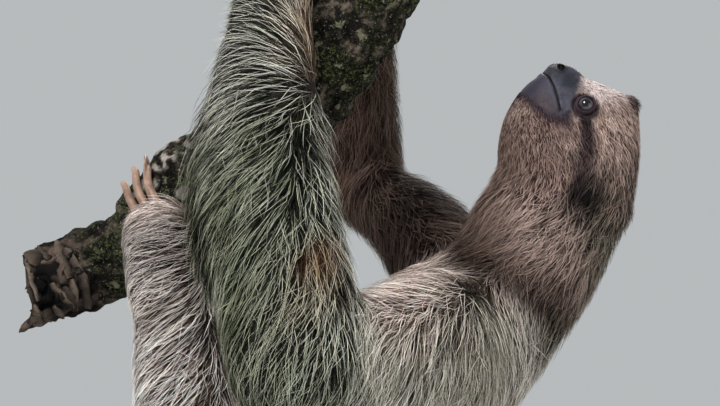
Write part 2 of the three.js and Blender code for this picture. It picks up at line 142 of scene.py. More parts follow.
# Pale, middling and dark hairs of a tuft's place: their heights in shares of the coat's depth, how
# far they stray from its lie in degrees, and their widths in shares of the place's own.
HEIGHTS = ((0.86, 1.1), (0.62, 1.02), (0.4, 0.9))
SPREADS = (15, 12, 10)
GIRTHS = (0.85, 0.95, 1.3)
SPREAD_BY_LENGTH = ((4, 12, 20, 30), (1.2, 1.2, 0.8, 1.1))
STRAYS = 0.06  # share of the hairs that lie across the others
STRAY_HEIGHT = 1.1
STRAY_SPREAD = 25
CURL = 0.12
STRAY_CURL = 0.22
LEAN = (0.25, 0.75)  # how far a tuft leans to its lock's leader
STRAY_LEAN = 0.05
CLUMP = 16  # tufts that lean together
LENGTH_VARIES = (0.7, 1.2)
WIDTH_VARIES = (0.7, 1.25)
TONE_VARIES = 0.27
HUE_VARIES = 0.05
FACE_LENGTH = (3.8, 8.2)  # of tufts by the nose, and how much is added towards the nape
FACE_WIDTH = (0.2, 0.11)
LIE_PASSES = 9  # that smooth the flow of the hair
UNSEEN_HEAD, UNSEEN_BODY = 0.5, 0.3  # share of the tufts left out on the side away from the camera
ROLL = 24  # degrees that a ribbon is turned about its own length
PATCH = 0.003  # side of a tuft's place on the OFBake map


# --- small helpers
def unit(a):
    return a / np.maximum(np.linalg.norm(a, axis=-1, keepdims=True), 1e-9)


def dot(a, b):
    return (a * b).sum(-1)


def bell(x, middle, half):
    """1 at the middle, and falling to nothing some halves away."""
    return np.exp(-(((x - middle) / half) ** 2))


def smooth(low, high, x):
    t = np.clip((x - low) / (high - low), 0, 1)
    return t * t * (3 - 2 * t)


def mix(a, b, share):
    """From a to b by a share for each row."""
    return a + (b - a) * np.asarray(share)[..., None]


def rgb(red, green, blue):
    """A colour as seen on a screen, 0 to 255, as linear light."""
    c = np.array([red, green, blue]) / 255
    return np.where(c <= 0.04045, c / 12.92, ((c + 0.055) / 1.055) ** 2.4)


def waves(p, size, seed, count=7):
    """Smooth noise from -1 to 1 with lumps about size across."""
    rng = np.random.default_rng(seed)
    total = np.zeros(len(p))
    for _ in range(count):
        way = unit(rng.normal(size=3)) * 2 * math.pi / (size * rng.uniform(1.2, 2.6))
        total += np.sin(p @ way + rng.uniform(0, 6.3))
    return total / math.sqrt(count)


def skull(p):
    """Distance along the skull towards the nose, across it, and up it, from between the eyes."""
    q = p - SKULL_SPOT
    return q @ FORWARD, q[:, 1], q @ UPWARD


def skull_point(along, across, up):
    return SKULL_SPOT + along * FORWARD + across * ACROSS + up * UPWARD


def read(things, key, width, kind=np.float32):
    """A value of each of a mesh's things, such as the place of each point, as rows."""
    values = np.empty(len(things) * width, kind)
    things.foreach_get(key, values)
    return values.reshape(-1, width)


def mesh_data(mesh):
    """A mesh's points in millimetres, and its triangles."""
    mesh.calc_loop_triangles()
    v = read(mesh.vertices, "co", 3).astype(float) / MM
    return v, read(mesh.loop_triangles, "vertices", 3, np.int32)


def taken(mesh):
    """The same of a mesh that isn't needed any more."""
    data = mesh_data(mesh)
    bpy.data.meshes.remove(mesh)
    return data


def placed(name, data):
    ob = bpy.data.objects.new(name, data)
    bpy.context.scene.collection.objects.link(ob)
    return ob


def make_object(name, verts, faces, smooth_faces=True):
    mesh = bpy.data.meshes.new(name)
    mesh.vertices.add(len(verts))
    mesh.vertices.foreach_set("co", (np.asarray(verts) * MM).astype(np.float32).ravel())
    faces = np.asarray(faces, np.int32)
    mesh.loops.add(faces.size)
    mesh.loops.foreach_set("vertex_index", faces.ravel())
    mesh.polygons.add(len(faces))
    starts = np.arange(0, faces.size, faces.shape[1], dtype=np.int32)
    mesh.polygons.foreach_set("loop_start", starts)
    mesh.update(calc_edges=True)
    if smooth_faces:
        mesh.shade_smooth()
    return placed(name, mesh)


def drop(ob):
    mesh = ob.data
    bpy.data.objects.remove(ob)
    if mesh.users == 0:
        bpy.data.meshes.remove(mesh)


def modified(ob, kind, **settings):
    """The mesh that a modifier makes of an object, which is then dropped."""
    mod = ob.modifiers.new("work", kind)
    for key, value in settings.items():
        setattr(mod, key, value)
    made = ob.evaluated_get(bpy.context.evaluated_depsgraph_get())
    mesh = bpy.data.meshes.new_from_object(made)
    drop(ob)
    return mesh


def edit(mesh, change):
    """Changes a mesh through bmesh."""
    bm = bmesh.new()
    bm.from_mesh(mesh)
    change(bm)
    bm.to_mesh(mesh)
    bm.free()


def remesh(verts, faces, voxel):
    """One closed skin of quads round everything."""
    ob = make_object("remesh", verts, faces)
    mesh = modified(ob, "REMESH", mode="VOXEL", voxel_size=voxel * MM, adaptivity=0)
    quads = read(mesh.loops, "vertex_index", 1, np.int32).reshape(-1, 4)
    return taken(mesh)[0], quads


def halves(quads):
    return np.concatenate([quads[:, [0, 1, 2]], quads[:, [0, 2, 3]]])


def edges_of(faces):
    k = faces.shape[1]
    pairs = np.concatenate([faces[:, [i, (i + 1) % k]] for i in range(k)])
    return np.unique(np.sort(pairs, axis=1), axis=0)


class Net:
    """Neighbours on a mesh, for averaging values over it."""

    def __init__(self, count, faces):
        self.a, self.b = edges_of(faces).T
        self.count = count
        self.degree = np.bincount(self.a, minlength=count) + np.bincount(self.b, minlength=count)

    def gather(self, ends, values):
        return np.bincount(ends, values, self.count)

    def average(self, x):
        x = np.asarray(x, float)
        flat = x.reshape(len(x), -1)
        out = np.empty_like(flat)
        for c in range(flat.shape[1]):
            out[:, c] = self.gather(self.a, flat[self.b, c]) + self.gather(self.b, flat[self.a, c])
        return (out / np.maximum(self.degree, 1)[:, None]).reshape(x.shape)

    def blur(self, x, times, share=0.5):
        for _ in range(times):
            x = x + share * (self.average(x) - x)
        return x

    def relax(self, v, times):
        """Smooths a shape and keeps its volume."""
        for _ in range(times):
            v = v + 0.5 * (self.average(v) - v)
            v = v - 0.52 * (self.average(v) - v)
        return v


def normals_of(v, faces):
    t = faces if faces.shape[1] == 3 else halves(faces)
    n = np.cross(v[t[:, 1]] - v[t[:, 0]], v[t[:, 2]] - v[t[:, 0]])
    sums = [sum(np.bincount(t[:, k], n[:, c], len(v)) for k in range(3)) for c in range(3)]
    return unit(np.stack(sums, 1))


def bvh_of(v, faces):
    return BVHTree.FromPolygons([Vector(p) for p in v], faces.tolist())


# --- the skin under the coat
def region_of_node(name):
    """The coat's region for a node of flesh, and none for any other."""
    return HEAD if name in HEAD_NODES else REGION.get(name)


def flesh_soup():
    """All nodes of flesh as one set of triangles, with the region of each."""
    verts, faces, regions, base = [], [], [], 0
    for name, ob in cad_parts.items():
        region = region_of_node(name)
        is_eye = name.startswith("eye_")
        if region is None and not is_eye:
            continue
        v, f = mesh_data(ob.data)
        verts.append(v)
        faces.append(f + base)
        regions.append(np.full(len(f), HEAD if is_eye else region))
        base += len(v)
    return np.concatenate(verts), np.concatenate(faces), np.concatenate(regions)


def coat_row(name):
    """A region's row in COAT, where left and right share one."""
    return COAT[name] if name in COAT else COAT[name.rsplit("_", 1)[0]]


def nearest_region(tree, regions, v):
    return np.array([regions[tree.find_nearest(Vector(p))[2]] for p in v])


def face_depth(v):
    """Depth of the coat on the head: next to none on the muzzle, deeper towards the nape."""
    f, _, u = skull(v)
    depth = 0.9 + 2.6 * smooth(8, -34, f) + 3.0 * smooth(-28, -58, f)
    depth += 1.4 * smooth(-20, -48, u) * smooth(6, -20, f)
    return depth * (1 - 0.6 * smooth(10, 20, f))


def coat_depth(v, region):
    depth = np.array([coat_row(name)[0] for name in REGIONS])[region]
    depth = depth * (1 - 0.6 * by_the_perch(v) * (region == REGION["forearm_left"]))
    return np.where(region == HEAD, face_depth(v), depth)


def by_the_perch(p):
    """1 along the edge of the near forearm that lies by the perch, above its whorl."""
    x, y, z = p.T
    edge = x + 0.25 * np.maximum(z - 420, 0)
    return smooth(-18, -6, edge) * smooth(418, 430, z) * smooth(-50, -66, y)


# Lines on the side of the face: the mouth's, and where bare skin starts.
MOUTH_ALONG = (2.9, 9.8, 15.6, 20.6, 24.3, 28)
MOUTH_UP = (-16.0, -14.5, -13.6, -13.8, -14.9, -15.2)
BARE_UP = (-32, -28.5, -25.1, -21.2, -16.7, -13.2, -9.9, -5.3, -1.1, 1.0, 3.0)
BARE_ALONG = (23, 18.9, 10.9, 3.8, 0.9, 0.5, 3.3, 9.6, 13.4, 15.1, 18)
NOSTRIL = (23.9, -5.7)  # along the skull and up it
NOSTRIL_RADIUS = 2.3
NOSTRIL_DEPTH = 2.8
NOSE_FULL = (1.6, 1.5)  # how far the nose is swelled up and forward
LID_SLANT = 0.12
GROOVE = (0.9, 0.4)  # depth and half width of the mouth's line
LIP = (0.25, 1.9, 1.2)  # height of a lip, its distance from the line, and its half width
CLEFT_DEPTH = 0.6


def eye_frame(side):
    """Centre, outward axis, and the two axes of the opening of one eye."""
    centre = skull_point(EYE_SPOT[0], side * EYE_SPOT[1], EYE_SPOT[2])
    ahead, out, up = EYE_AXIS
    axis = unit(ahead * FORWARD + side * out * ACROSS + up * UPWARD)
    along = unit(FORWARD - axis * (FORWARD @ axis))
    return centre, axis, along, np.cross(axis, along) * -side


def lid_ratio(v, side):
    """1 at the edge of the lids, less inside the opening, with place in the eye's axes."""
    centre, axis, along, rise = eye_frame(side)
    q = v - centre
    x, y, h = q @ along, q @ rise, q @ axis
    x, y = x + LID_SLANT * y, y - LID_SLANT * x
    ratio = np.sqrt((x / LID_HALF[0]) ** 2 + (y / LID_HALF[1]) ** 2)
    return np.where(h > 0, ratio, 9.0), np.hypot(x, y), h


def near_eye(v):
    return np.minimum(lid_ratio(v, -1)[0], lid_ratio(v, 1)[0])


def mouth_gap(v):
    """Distance from the line of the mouth, up the skull."""
    f, _, u = skull(v)
    return u - np.interp(f, MOUTH_ALONG, MOUTH_UP)


def bare_edge(u):
    """How far along the skull the bare skin of the face starts."""
    return np.interp(u, BARE_UP, BARE_ALONG)


def bareness(v):
    """1 on the bare skin of the face, and 0 under fur."""
    f, _, u = skull(v)
    return smooth(-2.6, 1.6, f - bare_edge(u) + 0.8 * waves(v, 5, 3))


def nostril(v):
    """Distance from the middle of a nostril seen from the side, in shares of its radius."""
    f, y, u = skull(v)
    return np.where(np.abs(y) > 1.6, np.hypot(f - NOSTRIL[0], u - NOSTRIL[1]) / NOSTRIL_RADIUS, 9.0)


def sculpt_face(v, n):
    """Lids, nose, nostrils, lips and the line of the mouth."""
    f, y, u = skull(v)
    gap = mouth_gap(v)
    # a full round nose, with a nostril on each side of its tip
    full = bell(f, 19.5, 4.5) * bell(u, 1.5, 4.0) * smooth(11, 6, np.abs(y))
    ahead = NOSE_FULL[1] * smooth(19, 24, f) * smooth(-14, -10, u)
    v = v + (np.outer(NOSE_FULL[0] * full, UPWARD) + np.outer(ahead, FORWARD))
    inward = -0.85 * np.sign(y)[:, None] * ACROSS - 0.5 * FORWARD
    v += inward * (NOSTRIL_DEPTH * smooth(1.0, 0.55, nostril(v)))[:, None]
    # groove of the mouth, from the front round to its corner, with full lips
    reach = smooth(1.9, 4.2, f) * smooth(-60, -20, u)
    groove = GROOVE[0] * bell(gap, 0, GROOVE[1]) * reach
    lips = LIP[0] * bell(np.abs(gap), *LIP[1:]) * reach
    v += n * (lips - groove)[:, None]
    v -= n * (0.7 * bell(np.hypot(f - 2.6, gap), 0, 1.6))[:, None]
    cleft = bell(y, 0, 0.6) * smooth(18, 22, f) * smooth(-14.8, -14, u) * smooth(-10.6, -12, u)
    v -= np.outer(CLEFT_DEPTH * cleft, FORWARD)
    for side in (-1, 1):
        axis = eye_frame(side)[1]
        ratio, r, h = lid_ratio(v, side)
        ball = np.sqrt(np.maximum(EYE_RADIUS**2 - r**2, 0))
        lid = np.sqrt(np.maximum((EYE_RADIUS + LID_THICK) ** 2 - r**2, 0))
        fold = 0.35 * bell(ratio, 1.62, 0.12)
        away = smooth(1.3, 2.1, ratio)
        target = np.where(ratio < 1, ball - 1.6, lid * (1 - away) + h * away - fold)
        inside = (ratio < 2.3) & (h > 0)
        v += np.outer(np.where(inside, target - h, 0), axis)
    return v


def refine(v, faces, wanted):
    """Splits the edges with both ends wanted, with no seam, and evens out the points there."""
    mesh = bpy.data.meshes.new("refine")
    mesh.from_pydata((v * MM).tolist(), [], faces)
    keep = wanted(v)

    def split(bm):
        bm.verts.ensure_lookup_table()
        edges = [e for e in bm.edges if keep[e.verts[0].index] and keep[e.verts[1].index]]
        bmesh.ops.subdivide_edges(bm, edges=edges, cuts=1, use_grid_fill=True)

    edit(mesh, split)
    polygons = [tuple(p.vertices) for p in mesh.polygons]
    v, tris = taken(mesh)
    net = Net(len(v), tris)
    soft = smooth(0, 1, net.blur(wanted(v).astype(float), 2))[:, None]
    return v * (1 - soft) + net.relax(v, 2) * soft, polygons


def make_skin():
    """The skin's points, its triangles, and the region of each point."""
    soup_v, soup_f, soup_region = flesh_soup()
    soup = (bvh_of(soup_v, soup_f), soup_region)
    v, q = remesh(soup_v, soup_f, SKIN_VOXEL)
    net = Net(len(v), q)
    v = net.relax(v, 10)
    depth = net.blur(coat_depth(v, nearest_region(*soup, v)), 24)
    n = unit(net.blur(normals_of(v, q), 5))
    v, q = remesh(v - n * depth[:, None], q, SKIN_VOXEL)
    v = Net(len(v), q).relax(v, 5)
    outline = bvh_of(*remesh(soup_v, soup_f, OUTLINE_VOXEL))
    v = settle(v, q, lambda p: 1.0, outline, soup)
    x, y, z = v.T
    fold = smooth(4, 22, x) * smooth(130, 112, x) * smooth(255, 275, z) * smooth(350, 336, z)
    v = fill_folds(v, q, fold * smooth(12, 22, -y), FOLD_PASSES)
    faces = q.tolist()

    def front(p):
        return (skull(p)[0] > -17) & (np.abs(p[:, 1]) < 45)

    def closer(p):
        f, _, u = skull(p)
        return ((f > -13) & (u > -34)) | (f > 6)

    def closest(p):
        f, _, u = skull(p)
        mouth = (f > 0.5) & (np.abs(mouth_gap(p)) < 3)
        return (near_eye(p) < 2.4) | ((f > 19) & (u > -18)) | mouth

    for wanted in (front, closer, closest):
        v, faces = refine(v, faces, lambda p, wanted=wanted: wanted(p) & (skull(p)[0] > -20))
    mesh = bpy.data.meshes.new("skin")
    mesh.from_pydata((v * MM).tolist(), [], faces)
    v, tris = taken(mesh)
    v = settle(v, tris, lambda p: smooth(4, 12, skull(p)[0]), outline, soup)
    on_head = skull(v)[0] > -16
    v = np.where(on_head[:, None], sculpt_face(v, normals_of(v, tris)), v)
    return v, tris, nearest_region(*soup, v)


def fill_folds(v, faces, share, times):
    """Raises the hollow between an arm and the trunk into a gentle slope, and leaves all else."""
    net = Net(len(v), faces)
    for _ in range(times):
        n = normals_of(v, faces)
        rise = np.maximum(dot(net.average(v) - v, n), 0) * share
        v = v + n * rise[:, None]
    return net.relax(v, 1)


def settle(v, faces, share, outline, soup):
    """Moves the skin in or out until it lies under the outline by the coat's depth."""
    net = Net(len(v), faces)
    for _ in range(3):
        wanted = net.blur(coat_depth(v, nearest_region(*soup, v)), 12)
        n = unit(net.blur(normals_of(v, faces), 3))
        hits = [outline.find_nearest(Vector(p)) for p in v]
        inward = np.array([h[1].dot(h[0] - Vector(p)) for h, p in zip(hits, v)])
        gap = np.sign(inward) * np.array([h[3] for h in hits])
        move = net.blur(np.clip(gap - wanted, -SETTLE_STEP, SETTLE_STEP), 2) * share(v)
        v = net.relax(v + n * (0.8 * move)[:, None], 1)
    return v


# --- which way the hair lies
def lie_of_head(p):
    """Down and back from the face, and forward and down on the nape, turning slowly."""
    x, z = p[:, 0], p[:, 2]
    rear = smooth(112, 158, x)
    front_angle = -20 + 34 * smooth(425, 352, z) + 38 * smooth(412, 372, z) * smooth(82, 106, x)
    front_angle += 45 * smooth(376, 350, z) * smooth(104, 84, x)
    rear_angle = -22 + 46 * smooth(425, 388, z) + 36 * smooth(388, 352, z)
    rear_angle -= 32 * smooth(345, 308, z)
    angle = np.radians(front_angle * (1 - rear) + rear_angle * rear)
    return np.stack([-np.sin(angle), 0 * x, -np.cos(angle)], 1)


def bend(p, spot, share, pull):
    """Away from a whorl where share is 1, and along pull where it is 0."""
    q = (p - spot) * (1, 0, 1)
    return unit(q) * share[:, None] + np.asarray(pull) * (1 - share)[:, None]


def lie_of_forearm(p):
    """A fountain: up the inner edge, over and down the outer side, and away from its whorl."""
    x, _, z = p.T
    above = z - ARM_WHORL[2]
    from_edge = np.maximum((ARM_WHORL[0] - 0.08 * above - x) / ARM_ACROSS - 0.14, 0)
    level = np.clip(0.2 + 0.0145 * above, 0.03, 0.85)  # how far across it starts to fall
    turn = 90 * np.clip(from_edge / level, 0, 1) + 89 * np.maximum(from_edge - level, 0)
    angle = np.radians(np.clip(turn, 0, 150))
    arc = np.stack([-np.sin(angle), 0 * x, np.cos(angle)], 1)
    share = bell(x, ARM_WHORL[0], 46) * np.exp(-np.maximum(-above, 0) / 110)
    fall = bend(p, ARM_WHORL, share, (-0.42, 0, -0.9))
    return mix(fall, arc, smooth(-9, 7, above))


def beyond(p, edge):
    """How far points lie beyond an edge."""
    (x, z), (ahead, up) = edge
    return (p[:, 0] - x) * ahead + (p[:, 2] - z) * up


def lies(p, n, region):
    """Direction of the hair at each place, before it is laid along the skin."""
    x, y, z = p.T
    steep = np.radians(np.interp(z, (250, 300, 334, 362), (64, 42, 30, 22)))
    leg = np.stack([-np.cos(steep), 0 * x, -np.sin(steep)], 1)
    belly = smooth(0.2, -0.8, n[:, 0])
    down = np.stack([0 * x - 0.08, np.sign(y) * 0.7 * belly, 0 * x - 1], 1)
    fall = np.exp(-np.maximum(SHOULDER_WHORL[2] - z, 0) / 95)
    trunk = bend(p, SHOULDER_WHORL, fall, down)
    rear = smooth(-3, 7, np.maximum(beyond(p, NECK_EDGE), beyond(p, NAPE_EDGE)))
    head = lie_of_head(p)
    trunk = mix(trunk, head, rear * smooth(262, 300, z))
    arm = lie_of_forearm(p)
    far_arm = (-0.1, 0.5, -0.85)
    way = {"head": head, "neck": head, "chest": trunk, "abdomen": down, "tail": (-0.5, 0, -0.85)}
    way |= {"upper_arm_left": trunk, "upper_arm_right": (0.6, -0.3, -0.75)}
    way |= {"forearm_left": arm, "hand_left": arm, "forearm_right": far_arm, "hand_right": far_arm}
    for side in ("left", "right"):
        way |= {f"thigh_{side}": (0.1, 0, -1.0), f"shank_{side}": leg, f"foot_{side}": leg}
    return unit(chosen(way, region, p.shape))


def chosen(values, region, shape):
    """Each point's values, from those of its own part."""
    out = np.zeros(shape)
    for name, value in values.items():
        here = region == REGION[name]
        out[here] = np.broadcast_to(value, shape)[here]
    return out


def whorl_share(p):
    """1 at the middle of the forearm's whorl, where the hair tangles, and 0 away from it."""
    return smooth(14, 3, np.hypot(p[:, 0] - ARM_WHORL[0], p[:, 2] - ARM_WHORL[2]))


# --- colours of skin and coat
# Each coat has a pale, a middling and a dark hair.
def hairs(pale, middle, dark):
    return np.stack([rgb(*pale), rgb(*middle), rgb(*dark)])


ARM = hairs((226, 224, 210), (54, 54, 44), (8, 9, 6))
# painted shade: the forearm's hairs darker towards its lower part
ARM_LOW_SHADE = hairs((186, 187, 168), (32, 34, 23), (4, 5, 3))
ARM_GREEN = hairs((128, 132, 106), (21, 25, 13), (3, 4, 2))
ARM_EDGE = hairs((214, 188, 160), (138, 112, 91), (50, 37, 28))
STAIN = hairs((150, 104, 62), (90, 54, 28), (40, 24, 12))
LEG = hairs((250, 238, 230), (104, 87, 77), (16, 11, 8))
FOOT = hairs((252, 240, 232), (216, 194, 182), (128, 102, 88))
SHOULDER = hairs((252, 234, 223), (216, 193, 181), (112, 92, 82))
FLANK = hairs((254, 254, 246), (186, 187, 170), (60, 62, 48))
NECK = hairs((184, 160, 149), (112, 94, 87), (46, 34, 31))
NAPE = hairs((134, 126, 110), (73, 68, 57), (26, 23, 17))
THROAT = hairs((146, 122, 111), (118, 98, 89), (82, 65, 58))
INNER = hairs((112, 92, 82), (77, 60, 53), (44, 33, 28))
BACK = hairs((188, 182, 168), (112, 105, 93), (44, 40, 32))
# painted shade: the dark band along the fold at the neck's base, under the overhanging tips of the
# neck's hair
CREASE_SHADE = hairs((84, 66, 56), (48, 35, 28), (22, 14, 10))
TEMPLE = hairs((206, 180, 168), (154, 130, 119), (94, 74, 66))
CHEEK = hairs((162, 136, 126), (104, 83, 77), (50, 37, 33))
CROWN = hairs((146, 127, 116), (94, 79, 71), (42, 32, 28))
BROW = hairs((254, 246, 244), (246, 230, 227), (214, 194, 189))
STRIPE = hairs((66, 50, 51), (36, 26, 28), (14, 9, 11))
EYE_PATCH = hairs((58, 46, 50), (42, 32, 36), (28, 20, 22))
# painted shade: near black in the ear's hollow
EAR_HOLLOW_SHADE = hairs((28, 24, 22), (13, 11, 10), (4, 3, 3))
BARE = hairs((72, 66, 74), (54, 48, 55), (38, 34, 39))
CHIN = hairs((96, 74, 75), (68, 50, 53), (42, 31, 34))
# The eye stripe: points along the skull and up it, and its half width and strength along it.
STRIPE_ALONG = (-4, -9, -13.5, -18.5, -23.1, -29.8, -36)
STRIPE_UP = (-5, -7.4, -9, -10.8, -13.8, -17, -19.4)
STRIPE_HALF = ((0, 0.15, 0.35, 0.55, 0.85, 1), (2.8, 3.6, 4.5, 5.4, 6.2, 6.2))
STRIPE_SOLID = ((0, 0.5, 0.8, 1), (1, 1, 0.85, 1))


def line_gap(a, b, line):
    """Distance from points (a, b) to a line of joined points, and how far along it that is."""
    best = np.full(len(a), 1e9)
    share = np.zeros(len(a))
    count = len(line) - 1
    for i, (p, q) in enumerate(zip(line, line[1:])):
        d = np.subtract(q, p)
        t = np.clip(((a - p[0]) * d[0] + (b - p[1]) * d[1]) / (d @ d), 0, 1)
        gap = np.hypot(a - p[0] - t * d[0], b - p[1] - t * d[1])
        share = np.where(gap < best, (i + t) / count, share)
        best = np.minimum(best, gap)
    return best, share


def blend(base, other, share):
    """Sets of hairs, with others laid over them by a share for each point."""
    return base + (other - base) * share[:, None, None]


def layered(base, layers, join=blend):
    """Hairs or colours, with others laid over them one after the other."""
    for other, share in layers:
        base = join(base, other, share)
    return base


def head_colours(p):
    """Hair colours on the head."""
    f, y, u = skull(p)
    wobble = waves(p, 9, 11)
    sides = smooth(8, 12, np.abs(y))
    gap, share = line_gap(f, u, list(zip(STRIPE_ALONG, STRIPE_UP)))
    stripe = np.interp(share, *STRIPE_SOLID)
    stripe = stripe * smooth(2.2, -1.5, gap - np.interp(share, *STRIPE_HALF) + 0.9 * wobble)
    patch = np.hypot(f + 0.7, u + 2.9)
    off_ear = (f - EAR_SPOT[0]) ** 2 + (u - EAR_SPOT[2]) ** 2
    ear = np.sqrt(off_ear + 0.4 * (np.abs(y) - EAR_SPOT[1]) ** 2)
    bar = bell(f - 7 - 0.5 * (u + 9), 0, 2.2) * smooth(-16, -10, u) * smooth(2, -3, u)
    edge = f - bare_edge(u)
    layers = [
        (CHEEK, smooth(-13, -25, u + 3 * wobble) * smooth(-4, 4, -f + 8)),
        (CROWN, smooth(-14, -42, f + 4 * wobble) * smooth(-24, -12, u)),
        (CROWN, 0.55 * smooth(16, 24, u)),
        (THROAT, smooth(-36, -48, u + 2 * wobble)),
        (BROW, 0.75 * smooth(-7, 4, f + wobble) * smooth(-2, 5, u)),
        (BROW, smooth(7, 12, f + wobble) * smooth(-5, 0, u)),
        (BROW, 0.5 * bar),
        (STRIPE, stripe * sides),
        (EYE_PATCH, smooth(8.4, 6.4, patch + 0.6 * wobble) * sides),
        # painted shade over the ear's hollow
        (EAR_HOLLOW_SHADE, smooth(13.5, 9, ear + 1.2 * wobble)),
        (STRIPE * 1.6, 0.85 * smooth(7.5, 4.0, np.hypot(f + 7.0, u - 24.0))),
        (CHIN, smooth(-17, -3, edge + 2.0 * wobble) * smooth(-10, -16, u)),
        (BARE, smooth(-7.5, 0.0, edge + 0.8 * wobble)),
    ]
    return layered(TEMPLE, layers)


def skin_tone(p):
    """Bare skin of the face: slate nose and lips, near black along the mouth's line and the lids'
    rims, with painted shade in the nostrils and in the hollow behind the nose, and a painted sheen
    on the lower lip.
    """
    f, _, u = skull(p)
    mottle = waves(p, 3.2, 21)
    gap = mouth_gap(p)
    hole = nostril(p)
    eye = near_eye(p)
    rim = smooth(1.22, 1.06, eye)
    shaded_hollow = np.hypot(f - 15.7, u + 4.3)
    layers = [
        (rgb(36, 36, 43), 0.6 * smooth(-0.4, 1.0, mottle)),
        (rgb(74, 72, 84), 0.4 * smooth(0.5, 1.4, waves(p, 1.8, 22))),
        (rgb(50, 44, 56), 0.8 * smooth(-13, -17, u)),
        # painted sheen: the lower lip a little lighter along the mouth's line
        (rgb(60, 58, 70), 0.6 * bell(gap, -2.2, 1.6) * smooth(4, 9, f)),
        (rgb(50, 37, 41), 0.9 * smooth(-15, -20, u) * smooth(19, 9, f + 2.5 * mottle)),
        # painted shade in the hollow behind the nose
        (rgb(27, 30, 36), 0.85 * smooth(6.5, 2.5, shaded_hollow)),
        (rgb(38, 37, 44), 0.75 * smooth(19, 22.5, f + 0.6 * mottle) * smooth(-15, -12, u)),
        (rgb(12, 9, 11), smooth(0.75, 0.3, np.abs(gap)) * smooth(2.0, 3.4, f)),
        # painted shade inside the nostril: darker round it and near black in it
        (rgb(30, 30, 36), 0.8 * smooth(2.0, 1.3, hole)),
        (rgb(4, 3, 4), smooth(1.2, 0.95, hole)),
        (rgb(70, 56, 62), smooth(2.2, 1.8, eye)),
        (rgb(20, 14, 16), rim + 0.5 * smooth(-2, -6, f) * smooth(2.1, 1.7, eye)),
    ]
    return layered(rgb(56, 56, 67), layers, mix)


def crease_share(p):
    """1 along the fold between the neck and the shoulder, and 0 away from it, where painted shade
    darkens the coat.
    """
    x, y, _ = p.T
    line = np.exp(-(((beyond(p, NECK_EDGE) - 1.0) / 12.0) ** 4))
    return line * smooth(58, 76, x) * smooth(134, 118, x) * smooth(8, 20, np.abs(y))


def body_colours(p, n, region):
    """Hair colours on neck, trunk and limbs, without the head, with painted shade along the fold at
    the neck's base, low on the throat and low on the near forearm.
    """
    x, y, z = p.T
    wobble = waves(p, 26, 31)
    fine = waves(p, 11, 32)
    inward = smooth(0.15, 0.75, -n[:, 1] * np.where(y < 0, -1.0, 1.0))
    facing = smooth(0.45, -0.05, n[:, 1])
    crease = crease_share(p)

    green = bell(x + 34 - 0.06 * (z - 395), 0, 24) * smooth(432, 405, z)
    right = smooth(-10, 10, x - 0.16 * (400 - z) * (z < 400) + 2 * fine)
    edge = smooth(-5, 4, x + 0.25 * np.maximum(z - 420, 0) + 2 * fine) * smooth(426, 442, z)
    arm = [
        (ARM * 0.6, smooth(-12, -34, x + 4 * fine)),
        # painted shade low on the near forearm
        (ARM_LOW_SHADE, smooth(432, 398, z + 6 * wobble)),
        (ARM_GREEN, np.clip(green * (0.7 + 0.6 * fine), 0, 1)),
        (ARM, 0.75 * right * smooth(436, 420, z)),
        (ARM_EDGE, edge),
        (STAIN, 0.9 * smooth(10, 4, np.hypot(x + 1, 0.7 * (z - 350)) + 2 * fine)),
        (INNER * 1.2, inward),
    ]
    ridge = 0.5 * smooth(0.35, 0.95, n[:, 0]) * smooth(385, 400, z)
    far_arm = layered(ARM, [(INNER, facing), (ARM_EDGE * 0.35, ridge)])

    dark = np.clip(0.75 * smooth(325, 350, z) + smooth(0.3, 1.0, wobble), 0, 1)
    leg = [(ARM, 0.5 * smooth(0.2, 1.2, fine)), (LEG * 0.5, dark), (INNER * 1.4, 0.7 * inward)]
    leg = layered(LEG, leg)

    fan = smooth(300, 328, z + 0.1 * (SHOULDER_WHORL[0] - x) + 5 * wobble)
    pale = smooth(0.35, 1.1, waves(p, 60, 33)) * smooth(0, 0.6, n[:, 0]) * smooth(330, 260, z)
    nape = smooth(-2, 6, beyond(p, NAPE_EDGE)) * smooth(290, 306, z)
    top = smooth(342, 349, z + 2 * fine) * smooth(28, 46, x) * smooth(62, 38, y)
    trunk = [
        (ARM_GREEN, 0.25 * smooth(0.3, 1.2, fine)),
        (SHOULDER, fan * smooth(-1.0, -0.65, -n[:, 0])),
        (BACK, smooth(0.2, 0.8, n[:, 0])),
        (LEG, 0.6 * pale),
        (INNER * 1.6, 0.45 * smooth(-0.4, -0.9, n[:, 0])),
        (NAPE, 0.85 * nape),
        # painted shade along the fold at the neck's base and on the strip of shoulder just above it
        (CREASE_SHADE * 0.8, np.clip(crease + top, 0, 1)),
    ]
    trunk = layered(FLANK, trunk)
    neck = [
        (NAPE, smooth(118, 146, x + 4 * fine)),
        (THROAT, smooth(104, 94, x + 2 * fine)),
        # painted shadow: the throat's hair darker low on the front of the neck
        (THROAT * 0.55, smooth(390, 366, z) * smooth(104, 84, x + 2 * fine)),
        # painted shade along the fold at the neck's base
        (CREASE_SHADE * 0.8, crease),
        (STRIPE, 0.4 * smooth(0.3, 1.3, wobble)),
    ]
    parts = {"neck": layered(NECK, neck), "chest": trunk, "abdomen": trunk, "tail": BACK}
    parts |= {"upper_arm_left": trunk, "upper_arm_right": blend(trunk, INNER, facing)}
    for s, arm_colours in (("left", layered(ARM, arm)), ("right", far_arm)):
        parts |= {f"forearm_{s}": arm_colours, f"hand_{s}": arm_colours, f"shank_{s}": leg}
        parts |= {f"thigh_{s}": leg, f"foot_{s}": blend(FOOT, leg, smooth(381, 364, z))}
    return chosen(parts, region, (len(p), 3, 3))


def colours_of(p, n, region, net):
    """Hair colours all over: evened out on the body, and crisp on the face."""
    on_head = region == HEAD
    head = head_colours(p)
    body = body_colours(p, n, region)
    body[on_head] = head[on_head]
    share = smooth(-34, -56, skull(p)[0]) * on_head + ~on_head
    return blend(head, net.blur(body, 6), share)


